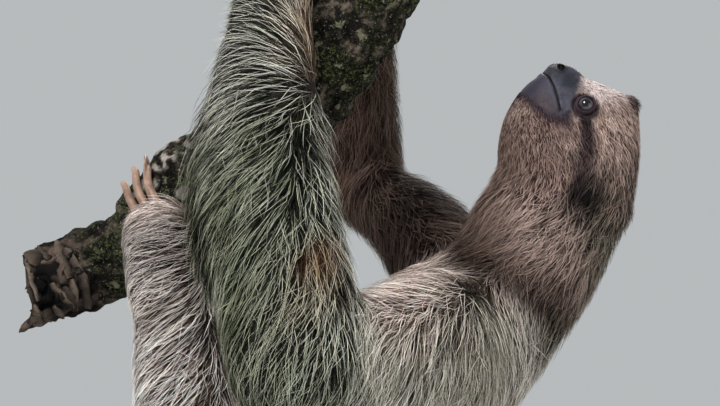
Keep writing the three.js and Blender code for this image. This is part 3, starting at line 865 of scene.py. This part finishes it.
# --- the coat
def patch_map(v, tris, name):
    """An unwrap of some of the skin's own faces, as a place for each corner."""
    used, inverse = np.unique(tris, return_inverse=True)
    ob = make_object(name, v[used], inverse.reshape(-1, 3))
    bpy.ops.object.select_all(action="DESELECT")
    ob.select_set(True)
    bpy.context.view_layer.objects.active = ob
    ob.data.uv_layers.new(name="OFBake")
    bpy.ops.object.mode_set(mode="EDIT")
    bpy.ops.mesh.select_all(action="SELECT")
    bpy.ops.uv.smart_project(angle_limit=math.radians(66), island_margin=PATCH)
    bpy.ops.object.mode_set(mode="OBJECT")
    uv = read(ob.data.uv_layers["OFBake"].uv, "vector", 2).astype(float)
    drop(ob)
    return uv.reshape(-1, 3, 2)


# A tuft is a tapering ribbon, wide across the skin, with stations from its root to its tip.
STATIONS = (0.0, 0.24, 0.5, 0.76, 1.0)
RISE = (-0.04, 0.52, 0.82, 0.96, 1.0)
TAPER = (0.8, 1.0, 0.95, 0.72)
# painted shade towards a tuft's root and painted light towards its tip, as shares of its colour at
# each station
ROOT_SHADE_TIP_LIGHT = (0.12, 0.46, 0.9, 1.12, 1.25)
STATION_OF = (0, 0, 1, 1, 2, 2, 3, 3, 4)  # of each of its nine points
SIDE_OF = (0, 1, 0, 1, 0, 1, 0, 1, 0.5)
TUFT_FACES = np.array([[0, 2, 3], [0, 3, 1], [2, 4, 5], [2, 5, 3], [4, 6, 7], [4, 7, 5], [6, 8, 7]])


class Skin:
    """The skin with what its hair is like at each point: lie, depth, length, width and colours."""

    def __init__(self):
        self.v, self.tris, self.region = make_skin()
        net = Net(len(self.v), self.tris)
        self.n = unit(net.blur(normals_of(self.v, self.tris), 2))
        self.tree = bvh_of(self.v, self.tris)
        lie = lies(self.v, unit(net.blur(self.n, 6)), self.region)
        for _ in range(LIE_PASSES):
            lie = net.blur(lie, 2)
            lie = unit(lie - self.n * dot(lie, self.n)[:, None])
        self.lie = lie
        rows = np.array([coat_row(name) for name in REGIONS], float)
        _, length, width, pale = rows[self.region].T
        f, _, u = skull(self.v)
        head = self.region == HEAD
        thin = smooth(-7, 2, f - bare_edge(u))
        face_length = FACE_LENGTH[0] + FACE_LENGTH[1] * smooth(12, -44, f)
        face_width = FACE_WIDTH[0] + FACE_WIDTH[1] * smooth(8, -45, f)
        length = np.where(head, face_length * (1 - 0.35 * thin), length)
        width = np.where(head, face_width * (1 - 0.3 * thin), width)
        self.depth = net.blur(coat_depth(self.v, self.region), 8)
        self.length, self.width, self.pale = (net.blur(a, 8) for a in (length, width, pale))
        self.colours = colours_of(self.v, self.n, self.region, net)
        self.face_n = unit(self.n[self.tris].mean(1))
        self.face_lie = unit(self.lie[self.tris].mean(1))
        self.face_depth = self.depth[self.tris].mean(1)
        self.face_colours = self.colours[self.tris].mean(1)
        a, b, c = (self.v[self.tris[:, k]] for k in range(3))
        self.area = np.linalg.norm(np.cross(b - a, c - a), axis=1) / 2
        middle = (a + b + c) / 3
        f, _, u = skull(middle)
        fur = smooth(1.5, -6.5, f - bare_edge(u) + 1.2 * waves(middle, 6, 23))
        fur = fur * smooth(1.75, 2.1, near_eye(middle))
        self.furred = np.where(self.region[self.tris[:, 0]] == HEAD, fur, 1)

    def at(self, values, face, share):
        corners = values[self.tris[face]]
        weights = share.reshape(share.shape + (1,) * (corners.ndim - 2))
        return (corners * weights).sum(1)


def sow(skin, name, regions, count, rng):
    """Where tufts grow: their faces, their shares of the corners, and their places on the map."""
    ids = [REGION[r] for r in regions]
    faces = np.nonzero(np.isin(skin.region[skin.tris[:, 0]], ids) & (skin.furred > 0))[0]
    uv = patch_map(skin.v, skin.tris[faces], name)
    first = skin.tris[faces, 0]
    crowd = skin.area[faces] / (skin.length[first] * skin.width[first]) ** 0.75
    away = UNSEEN_HEAD if regions == ["head"] else UNSEEN_BODY
    crowd *= skin.furred[faces] * (1 - away * smooth(0, 0.6, skin.face_n[faces, 1]))
    pick = rng.choice(len(faces), count, p=crowd / crowd.sum())
    a, b = rng.random((2, count))
    over = a + b > 1
    a, b = np.where(over, 1 - a, a), np.where(over, 1 - b, b)
    share = np.stack([1 - a - b, a, b], 1)
    return faces[pick], share, (uv[pick] * share[:, :, None]).sum(1)


def rises(root, fold, tangle):
    """How much higher or lower than usual tufts stand in some places."""
    x, y, z = root.T
    f, _, u = skull(root)
    webbed = smooth(-76, -66, x) * smooth(345, 362, z) * smooth(-40, -52, x)  # foot to arm
    crest = smooth(18, 22, u) * smooth(-9, -4, f) * smooth(9, 3, f)
    ear = np.sqrt((f - EAR_SPOT[0]) ** 2 + (u - EAR_SPOT[2]) ** 2)
    yield 1 + 0.9 * (by_the_perch(root) * smooth(60, 40, x))
    yield 1 + 1.1 * webbed
    yield 1 - 0.45 * fold
    yield 1 - 0.25 * tangle
    yield 1 + 1.7 * crest
    yield 1 - 0.6 * (smooth(8, 4, ear) * smooth(15, 22, np.abs(y)))


def comb(skin, points, out, tones, way, yaw, curl, length, height, depth, kind, root):
    """Each tuft's stations, marched over the skin from its root along the lie of the coat."""
    here = root
    for k in range(1, len(STATIONS)):
        step = length * (STATIONS[k] - STATIONS[k - 1])
        hits = [skin.tree.find_nearest(Vector(g)) for g in here + way * step[:, None]]
        here = np.array([h[0] for h in hits])
        face = np.array([h[2] for h in hits])
        n = skin.face_n[face]
        lie = skin.face_lie[face]
        turn = yaw * 0.8 + curl * STATIONS[k] * 3
        target = lie * np.cos(turn)[:, None] + np.cross(n, lie) * np.sin(turn)[:, None]
        way = way * 0.5 + target * 0.5
        way = unit(way - n * dot(way, n)[:, None])
        deep = 0.4 * depth + 0.6 * skin.face_depth[face]
        points.append(here + n * (deep * height * RISE[k])[:, None])
        out.append(n)
        tones.append(0.3 * tones[0] + 0.7 * skin.face_colours[face, kind])
    return (np.stack(rows, 1) for rows in (points, out, tones))


def unkink(points, length):
    """Straightens tufts, most where they cross a fold."""
    for _ in range(4):
        middle = (points[:, :-2] + points[:, 2:]) / 2 - points[:, 1:-1]
        kink = np.linalg.norm(middle, axis=2).max(1) / length
        points[:, 1:-1] += middle * (0.2 + 0.45 * smooth(0.05, 0.12, kink))[:, None, None]


def lean(points, out, root, length, pull):
    """Leans neighbours together into locks."""
    guides = np.arange(0, len(root), CLUMP)
    tree = kdtree.KDTree(len(guides))
    for i, g in enumerate(guides):
        tree.insert(Vector(root[g]), i)
    tree.balance()
    leader = guides[np.array([tree.find(Vector(r))[1] for r in root])]
    for k in range(1, len(STATIONS)):
        gap = points[leader, k] - points[:, k]
        gap -= out[:, k] * dot(gap, out[:, k])[:, None]
        far = np.linalg.norm(gap, axis=1) > 0.45 * length
        points[:, k] += gap * (np.where(far, 0, pull) * STATIONS[k] ** 1.4)[:, None]


def grow(skin, name, regions, count, rng):
    """Tufts over the given parts of the skin, as one mesh with their colours and their map."""
    face, share, spot = sow(skin, name, regions, count, rng)
    fields = ("v", "n", "lie", "length", "width", "colours", "pale", "depth")
    here = (skin.at(getattr(skin, field), face, share) for field in fields)
    root, normal, way, length, width, tone, pale, depth = here
    length = length * rng.uniform(*LENGTH_VARIES, count)
    width = width * rng.uniform(*WIDTH_VARIES, count)

    # pale hairs lie on top, dark ones under them
    draw = rng.random(count)
    kind = np.where(draw < pale, 0, np.where(draw < 0.4 + 0.6 * pale, 1, 2))
    height = np.choose(kind, [rng.uniform(low, high, count) for low, high in HEIGHTS])
    stray = (rng.random(count) < STRAYS) & (kind < 2)
    height = np.where(stray, STRAY_HEIGHT, height)
    tangle = whorl_share(root)
    spread = np.choose(kind, SPREADS) * np.interp(length, *SPREAD_BY_LENGTH)
    spread = np.where(stray, STRAY_SPREAD, spread) + 45 * tangle
    yaw = np.radians(rng.normal(0, 1, count) * spread) + 0.14 * waves(root, 12, 41)
    fold = crease_share(root)
    for rise in rises(root, fold, tangle):
        height = height * rise
    length = length * (1 - 0.35 * fold)
    curl = rng.normal(0, np.where(stray, STRAY_CURL, CURL), count)
    rough = 0.45 + 0.55 * smooth(1.5, 6, depth)  # how much the hairs of a place differ

    normal, way = unit(normal), unit(way)
    way = unit(way * np.cos(yaw)[:, None] + np.cross(normal, way) * np.sin(yaw)[:, None])
    start = [root + normal * (RISE[0] * depth)[:, None]], [normal], [tone[np.arange(count), kind]]
    points, out, tones = comb(skin, *start, way, yaw, curl, length, height, depth, kind, root)
    unkink(points, length)
    pull = np.where(stray, STRAY_LEAN, rng.uniform(*LEAN, count) * rough)
    lean(points, out, root, length, pull)

    along = unit(np.gradient(points, axis=1))
    roll = np.radians(rng.normal(0, ROLL, count))[:, None, None]
    wide = unit(np.cross(along, out))
    wide = wide * np.cos(roll) + np.cross(wide, along) * np.sin(roll)
    width = width * np.choose(kind, GIRTHS)
    verts = np.empty((count, 9, 3))
    for k, taper in enumerate(TAPER):
        half = (width * taper / 2)[:, None]
        verts[:, 2 * k] = points[:, k] - wide[:, k] * half
        verts[:, 2 * k + 1] = points[:, k] + wide[:, k] * half
    verts[:, 8] = points[:, 4]

    vary = 1 + rough[:, None] * rng.uniform(-TONE_VARIES, TONE_VARIES, (count, 1))
    vary = vary * rng.uniform(1 - HUE_VARIES, 1 + HUE_VARIES, (count, 3))
    colour = tones * vary[:, None]
    # painted shade at the roots and painted light at the tips, less where the coat is shallow
    shade = 1 + (np.array(ROOT_SHADE_TIP_LIGHT) - 1) * rough[:, None]
    tint = np.clip((colour * shade[:, :, None])[:, STATION_OF], 0, 1)
    faces = TUFT_FACES + 9 * np.arange(count)[:, None, None]
    ob = make_object(name, verts.reshape(-1, 3), faces.reshape(-1, 3))
    store_colour(ob, tint.reshape(-1, 3))
    corner = np.clip(spot, 0, 1 - PATCH)[:, None]
    offset = np.stack([np.array(SIDE_OF), np.array(STATION_OF) / 4], 1) * PATCH
    store_map(ob, (corner + offset)[:, TUFT_FACES])
    return ob


def store_map(ob, places):
    layer = ob.data.uv_layers.new(name="OFBake", do_init=False)
    layer.uv.foreach_set("vector", places.astype(np.float32).ravel())


def store_colour(ob, colour):
    """Stores a colour for each point, and the share of it where there is a fourth column."""
    rgba = np.ones((len(colour), 4))
    rgba[:, : colour.shape[1]] = colour
    layer = ob.data.color_attributes.new("tint", "FLOAT_COLOR", "POINT")
    layer.data.foreach_set("color", rgba.astype(np.float32).ravel())


# --- materials
class Nodes:
    """A short way to write a node material. An input's name has _ for a space."""

    def __init__(self, name, **inputs):
        self.material = bpy.data.materials.new(name)
        self.material.use_nodes = True
        self.tree = self.material.node_tree
        self.shader = self.tree.nodes["Principled BSDF"]
        self.feed(**inputs)

    def feed(self, **inputs):
        for key, value in inputs.items():
            self.put(value, self.shader.inputs[key.replace("_", " ")])

    def put(self, value, socket):
        if isinstance(value, bpy.types.NodeSocket):
            self.tree.links.new(value, socket)
        else:
            socket.default_value = value if isinstance(value, float) else (*value, 1)

    def add(self, kind, **values):
        node = self.tree.nodes.new(kind)
        for key, value in values.items():
            if key in node.inputs:
                node.inputs[key].default_value = value
            else:
                setattr(node, key, value)
        return node

    def stored(self, name):
        return self.add("ShaderNodeAttribute", attribute_name=name).outputs

    def place(self, scale=None):
        place = self.add("ShaderNodeTexCoord").outputs["Object"]
        if scale is None:
            return place
        node = self.add("ShaderNodeMapping", Scale=scale)
        self.put(place, node.inputs["Vector"])
        return node.outputs["Vector"]

    def noise(self, scale, detail=3.0, roughness=0.6, place=None):
        node = self.add("ShaderNodeTexNoise", Scale=scale, Detail=detail, Roughness=roughness)
        self.put(place or self.place(), node.inputs["Vector"])
        return node.outputs["Fac"]

    def ramp(self, source, *stops, screen=True):
        node = self.add("ShaderNodeValToRGB")
        ramp = node.color_ramp
        while len(ramp.elements) < len(stops):
            ramp.elements.new(0.5)
        for element, (at, colour) in zip(ramp.elements, stops):
            element.position = at
            element.color = (*(rgb(*colour) if screen else colour), 1)
        self.put(source, node.inputs["Fac"])
        return node.outputs["Color"]

    def grey(self, source, low, high, start=0.25, end=0.75):
        return self.ramp(source, (start, (low,) * 3), (end, (high,) * 3), screen=False)

    def blend(self, a, b, share, mode="MIX"):
        node = self.add("ShaderNodeMix", data_type="RGBA", blend_type=mode)
        for value, i in ((share, 0), (a, 6), (b, 7)):
            self.put(value, node.inputs[i])
        return node.outputs[2]

    def times(self, a, b):
        return self.blend(a, b, 1.0, "MULTIPLY")

    def bump(self, source, strength, distance):
        node = self.add("ShaderNodeBump", Strength=strength, Distance=distance * MM)
        self.put(source, node.inputs["Height"])
        self.feed(Normal=node.outputs["Normal"])


def coat_material():
    m = Nodes("coat", Specular_IOR_Level=0.12)
    streaks = m.grey(m.noise(900.0, 2.0), 0.82, 1.12)
    m.feed(Base_Color=m.times(m.stored("tint")["Color"], streaks))
    m.feed(Roughness=m.grey(m.noise(400.0, 2.0), 0.52, 0.74))
    m.bump(m.noise(1600.0, 2.0), 0.35, 0.2)
    return m.material


def skin_material():
    m = Nodes("skin", Specular_IOR_Level=0.22)
    fine = m.noise(1400.0, 4.0)
    m.feed(Base_Color=m.times(m.stored("tint")["Color"], m.grey(fine, 0.85, 1.12)))
    moist = m.grey(m.noise(700.0), 0.46, 0.64)
    m.feed(Roughness=m.blend((0.85,) * 3, moist, m.stored("bare")["Fac"]))
    cell = m.add("ShaderNodeTexVoronoi", Scale=1500.0)
    m.put(m.place(), cell.inputs["Vector"])
    m.bump(m.blend(cell.outputs["Distance"], fine, 0.5), 0.5, 0.35)
    return m.material


# --- the animal's pieces
def add_skin(skin):
    """The one skin: where it is furred, the dark hairs' colour darkened further as painted shade
    between the tufts, lighter on the face.
    """
    ob = make_object("skin", skin.v, skin.tris)
    head = skin.region == HEAD
    rims = smooth(2.0, 1.6, near_eye(skin.v))
    bare = np.where(head, np.maximum(bareness(skin.v), rims), 0)
    _, middle, dark = skin.colours.swapaxes(0, 1)
    face = head * smooth(-50, -10, skull(skin.v)[0])
    # partly the dark undercoat's colour, partly painted shade in the gaps between tufts, most on
    # the body
    under = mix(dark * 0.6 + middle * 0.05, middle * 0.75 + dark * 0.25, face)
    store_colour(ob, mix(under, skin_tone(skin.v), bare))
    layer = ob.data.attributes.new("bare", "FLOAT", "POINT")
    layer.data.foreach_set("value", bare.astype(np.float32))
    store_map(ob, patch_map(skin.v, skin.tris, "skin_map"))
    ob.data.materials.append(skin_material())
    nodes = [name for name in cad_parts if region_of_node(name) is not None]
    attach(ob, "root")
    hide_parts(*nodes)


def eye_material():
    m = Nodes("eye", Roughness=0.06, Coat_Weight=0.5, Coat_Roughness=0.03, Specular_IOR_Level=0.3)
    m.feed(Base_Color=m.times(m.stored("tint")["Color"], m.grey(m.noise(1800.0), 0.7, 1.2)))
    return m.material


def add_eye(side, name, material):
    """A glossy ball with a round near black pupil and a slight cornea, ringed by a grey-lilac band
    that is partly the eye's own colour and partly painted reflection, brightest in two arcs.
    """
    centre, axis, along, rise = eye_frame(side)
    ring, spoke = np.divmod(np.arange((EYE_RINGS + 1) * EYE_SPOKES), EYE_SPOKES)
    angle, turn = math.pi * ring / EYE_RINGS, 2 * math.pi * spoke / EYE_SPOKES
    bulge = EYE_RADIUS + CORNEA * smooth(0.62, 0.2, angle)
    r = bulge * np.sin(angle)
    rim = np.where(angle < math.pi / 2, r, 2 * EYE_RADIUS)
    iris_and_reflection = smooth(IRIS_AND_REFLECTION[0], IRIS_AND_REFLECTION[0] + 0.4, rim) * smooth(IRIS_AND_REFLECTION[1] + 0.3, IRIS_AND_REFLECTION[1], rim)
    # the ring round the pupil: partly the eye's own colour, partly painted reflection that is
    # brighter in two arcs
    colour = mix(rgb(3, 2, 3), rgb(96, 82, 90), iris_and_reflection * (0.5 + 0.35 * np.sin(2 * turn + 0.6)))
    v = centre + np.outer(bulge * np.cos(angle), axis)
    v += r[:, None] * (np.outer(np.cos(turn), along) + np.outer(np.sin(turn), rise))
    a = np.arange(EYE_RINGS * EYE_SPOKES)
    b = a - spoke[a] + (spoke[a] + 1) % EYE_SPOKES
    ob = make_object(name, v, np.stack([a, a + EYE_SPOKES, b + EYE_SPOKES, b], 1))
    store_colour(ob, colour)

    def join(bm):
        bmesh.ops.remove_doubles(bm, verts=bm.verts, dist=1e-6)
        bmesh.ops.recalc_face_normals(bm, faces=bm.faces)

    edit(ob.data, join)
    ob.data.materials.append(material)
    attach(ob, "root")
    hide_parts(name)
    ob.name = name + "_ball"


def claw_material():
    m = Nodes("claw")
    grain = m.noise(900.0)
    stops = (0.3, (112, 84, 68)), (0.55, (158, 128, 110)), (0.8, (186, 160, 142))
    m.feed(Base_Color=m.times(m.ramp(m.noise(90.0, 4.0), *stops), m.grey(grain, 0.8, 1.1)))
    m.feed(Roughness=m.grey(grain, 0.36, 0.56))
    m.bump(grain, 0.3, 0.2)
    return m.material


def smooth_copy(node, name, swell):
    """A rounder copy of a CAD node, swelled to make up for what the rounding takes off."""
    ob = make_object(name, *mesh_data(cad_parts[node].data))
    edit(ob.data, lambda bm: bmesh.ops.remove_doubles(bm, verts=bm.verts, dist=1e-5))
    v, f = taken(modified(ob, "SUBSURF", levels=2, render_levels=2))
    v = v + normals_of(v, f) * swell
    if node.startswith("foot_claw_left"):
        x, _, z = v.T  # the photo shows the claw next to the arm no higher than its neighbour
        v[:, 2] -= CLAW_DROP * smooth(388, 406, z) * smooth(-92, -89.5, x)
    return make_object(name, v, f)


def add_claws():
    material = claw_material()
    for node in list(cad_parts):
        if "_claw_" not in node:
            continue
        ob = smooth_copy(node, node + "_horn", CLAW_SWELL[node[:4]])
        ob.data.materials.append(material)
        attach(ob, "root")
        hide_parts(node)


# --- perch, stand, floor and light
def bark_material():
    m = Nodes("bark", Specular_IOR_Level=0.15)
    rough = m.noise(90.0, 8.0, 0.72)
    fine = m.noise(520.0, 6.0, 0.8)
    base = m.ramp(rough, (0.44, (6, 5, 4)), (0.52, (36, 31, 25)), (0.62, (120, 108, 94)))
    moss = m.ramp(fine, (0.44, (3, 4, 2)), (0.52, (26, 30, 13)), (0.6, (92, 98, 60)))
    base = m.blend(base, moss, m.grey(m.noise(34.0, 6.0), 0.0, 1.0, 0.44, 0.54))
    lichen = m.grey(m.noise(120.0, 7.0, 0.65), 0.0, 0.8, 0.6, 0.64)
    base = m.blend(base, rgb(138, 136, 112), lichen)
    fleck = m.grey(m.noise(800.0, 4.0, 0.7), 0.0, 0.9, 0.62, 0.66)
    base = m.blend(base, rgb(168, 158, 140), fleck)
    wood = m.stored("tint")
    base = m.blend(base, wood["Color"], wood["Alpha"])
    m.feed(Base_Color=m.times(base, m.grey(fine, 0.45, 1.35)), Roughness=m.grey(fine, 0.75, 1.0))
    m.bump(m.blend(rough, fine, 0.5), 1.0, 4.0)
    return m.material


def add_branch():
    """The perch with its bark, its moss and the broken end, whose middle has rotted out."""
    v, q = remesh(*mesh_data(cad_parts["perch_branch"].data), BARK_VOXEL)
    v = Net(len(v), q).relax(v, 3)
    n = normals_of(v, q)
    top = v[:, 2].max()
    flat = smooth(top - 3, top - 1, v[:, 2])
    lumps = sum(size * waves(v, wide, seed) for size, wide, seed in BARK_LUMPS)
    crack = -CRACK_DEPTH * bell(waves(v, 14, 54), 0, 0.16)
    along, near, over = stub_axes()
    back = (v - STUB_END) @ along
    turn = np.arctan2((v - STUB_END) @ over, (v - STUB_END) @ near)
    (deep, long), (round_to, wide) = HOLLOW
    hollow = np.hypot((back - deep) / long, (turn - round_to) / wide)
    rise = (lumps + crack) * (1 - flat) - 0.2 - HOLLOW_DEPTH * smooth(1.1, 0.5, hollow)
    v = v + n * rise[:, None]
    broken = smooth(38, 30, back + 4 * waves(v, 11, 56)) * smooth(1.9, 1.5, np.abs(turn))
    fibres = waves(np.stack([turn * 60, back * 0.6, 0 * back], 1), 14, 57)
    grain = smooth(-0.7, 0.9, fibres + 0.6 * waves(v, 4, 58))
    cut = smooth(0.5, 0.9, n[:, 2]) * flat
    peeled = smooth(0.2, 0.9, waves(v * (0.5, 1, 1), 6, 59) + 0.5 * waves(v, 3, 60))
    peeled = peeled * bell(v[:, 0], -82, 20) * smooth(352, 366, v[:, 2])
    wood = [
        (rgb(112, 94, 84), grain**2),
        # painted shade: near black in the rotted-out hollow
        (rgb(5, 4, 4), smooth(1.25, 0.9, hollow)),
        (rgb(190, 182, 170), peeled),
        (rgb(150, 118, 84), cut),
    ]
    wood = layered(rgb(17, 13, 12), wood, mix)
    bare = np.maximum(np.maximum(cut, broken), peeled)
    ob = make_object("perch_bark", v, q)
    store_colour(ob, np.concatenate([wood, bare[:, None]], 1))
    material = bark_material()
    ob.data.materials.append(material)
    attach(ob, "root")
    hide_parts("perch_branch")
    add_splinters(material, bvh_of(v, q))


def stub_axes():
    """Along the perch from its broken end, towards the near side, and up over it."""
    along = unit(STUB_ALONG)
    near = unit(-ACROSS + along * (ACROSS @ along))
    return along, near, np.cross(near, along) * -1


def add_splinters(material, bark):
    """Torn slabs of wood that run round the perch's broken end, with pale edges."""
    along, near, over = stub_axes()
    rng = np.random.default_rng(SEED + 1)
    verts, faces, tint = [], [], []
    stations = (0.0, 0.2, 0.42, 0.64, 0.84, 1.0)
    for i in range(SPLINTERS):
        back = 35 * (i % (SPLINTERS // 2)) / (SPLINTERS / 2) + rng.uniform(-1, 1.5)
        upper = i < SPLINTERS // 2
        start = rng.uniform(0.95, 1.25) if upper else rng.uniform(0.0, 0.35)
        reach = rng.uniform(0.7, 1.1) if upper else rng.uniform(0.9, 1.4)
        if 5 < back < 20:  # leaves the hollow open
            start, reach = (1.25, 0.6) if upper else (-0.5, 0.75)
        skew, lift, roll = rng.uniform(-7, 7), rng.uniform(0.4, 2.6), rng.uniform(-0.55, 0.55)
        width, thick, shade = rng.uniform(1.3, 3.2), rng.uniform(0.5, 1.2), rng.uniform(0.2, 0.75)
        first = len(verts)
        for t in stations:
            turn = start - reach * t
            radial = near * math.cos(turn) + over * math.sin(turn)
            side = along * math.cos(roll) + radial * math.sin(roll)
            rise = radial * math.cos(roll) - along * math.sin(roll)
            wide = 0.25 + 0.95 * math.sin(math.pi * (0.12 + 0.8 * t))
            wide = width * wide * rng.uniform(0.6, 1.3)
            middle = STUB_END + along * max(back + skew * (t - 0.5), 0.0) + radial * STUB_RADIUS
            off = 0.5 * lift * (2 * t - 1) ** 2 + rng.uniform(-0.2, 0.6)
            middle = np.array(bark.find_nearest(Vector(middle))[0]) + radial * off
            for a, b in ((-1, -1), (1, -1), (1, 1), (-1, 1)):
                verts.append(middle + side * a * wide + rise * b * thick)
                pale = (0.95 if a * roll > 0 else 0.1) * (1 if b > 0 else 0.4)
                pale *= rng.uniform(0.5, 1.1)
                tint.append(mix(rgb(40, 30, 27), rgb(186, 164, 146), pale) * shade)
        for k in range(len(stations) - 1):
            for c in range(4):
                a, b = first + 4 * k + c, first + 4 * k + (c + 1) % 4
                faces.append((a, a + 4, b + 4, b))
        faces.append(tuple(first + c for c in (0, 1, 2, 3)))
        faces.append(tuple(first + 4 * (len(stations) - 1) + c for c in (3, 2, 1, 0)))
    ob = make_object("perch_splinters", np.array(verts), np.array(faces), smooth_faces=False)
    store_colour(ob, np.array(tint))
    ob.data.materials.append(material)
    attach(ob, "root")


def add_stand():
    """The finish of the wooden base and the steel rods."""
    base = Nodes("stand_base")
    grain = base.noise(18.0, 6.0, place=base.place((2.0, 22.0, 22.0)))
    stops = (0.3, (34, 27, 22)), (0.55, (58, 45, 36)), (0.8, (84, 66, 52))
    base.feed(Base_Color=base.ramp(grain, *stops), Roughness=base.grey(grain, 0.34, 0.52))
    base.bump(grain, 0.15, 0.3)
    rod = Nodes("stand_rod", Metallic=1.0)
    lines = rod.noise(120.0, place=rod.place((1.0, 1.0, 30.0)))
    steel = rod.ramp(lines, (0.3, (150, 152, 154)), (0.7, (186, 188, 190)))
    rod.feed(Base_Color=steel, Roughness=rod.grey(lines, 0.24, 0.4))
    rod.bump(lines, 0.08, 0.05)
    for node, finish in (("stand_base", base), ("stand_rod_1", rod), ("stand_rod_2", rod)):
        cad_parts[node].data.materials.clear()
        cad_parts[node].data.materials.append(finish.material)


def add_floor():
    m = Nodes("floor", Roughness=0.8)
    stops = (0.3, (0.74, 0.74, 0.73)), (0.7, (0.78, 0.78, 0.77))
    m.feed(Base_Color=m.ramp(m.noise(3.0), *stops, screen=False))
    half = FLOOR_HALF
    corners = (-half, -half, -0.1), (half, -half, -0.1), (half, half, -0.1), (-half, half, -0.1)
    ob = make_object("floor", corners, [[0, 1, 2, 3]])
    ob.data.materials.append(m.material)


def add_light(name, spot, size, power):
    """A round soft light that faces the animal."""
    light = bpy.data.lights.new(name, "AREA")
    light.shape = "DISK"
    light.size = size * MM
    light.energy = power
    ob = placed(name, light)
    ob.location = Vector(spot) * MM
    aim = Vector(PHOTO_CENTRE) * MM - ob.location
    ob.rotation_euler = aim.to_track_quat("-Z", "Y").to_euler()


def add_studio():
    world = bpy.data.worlds.new("studio")
    bpy.context.scene.world = world
    world.use_nodes = True
    back = world.node_tree.nodes["Background"]
    back.inputs["Color"].default_value = SKY
    back.inputs["Strength"].default_value = SKY_STRENGTH
    for light in LIGHTS:
        add_light(*light)
    bpy.context.scene.view_settings.view_transform = "Standard"


def add_camera():
    camera = bpy.data.cameras.new("camera")
    camera.sensor_width = SENSOR
    camera.sensor_fit = "HORIZONTAL"
    camera.lens = SENSOR * CAMERA_BACK / PHOTO_WIDTH
    camera.clip_start = 0.01
    camera.clip_end = 50
    ob = placed("camera", camera)
    ob.location = Vector(PHOTO_CENTRE - np.array([0, CAMERA_BACK, 0])) * MM
    ob.rotation_euler = (math.pi / 2, 0, 0)
    bpy.context.scene.camera = ob


# --- the scene
add_camera()
add_studio()
add_floor()
add_stand()
add_branch()
add_claws()
skin = Skin()
add_skin(skin)
eye = eye_material()
add_eye(-1, "eye_left", eye)
add_eye(1, "eye_right", eye)
coat = coat_material()
rng = np.random.default_rng(SEED)
for piece, (regions, count) in PIECES.items():
    ob = grow(skin, piece, regions, count, rng)
    ob.data.materials.append(coat)
    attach(ob, "root")

bpy.context.view_layer.update()
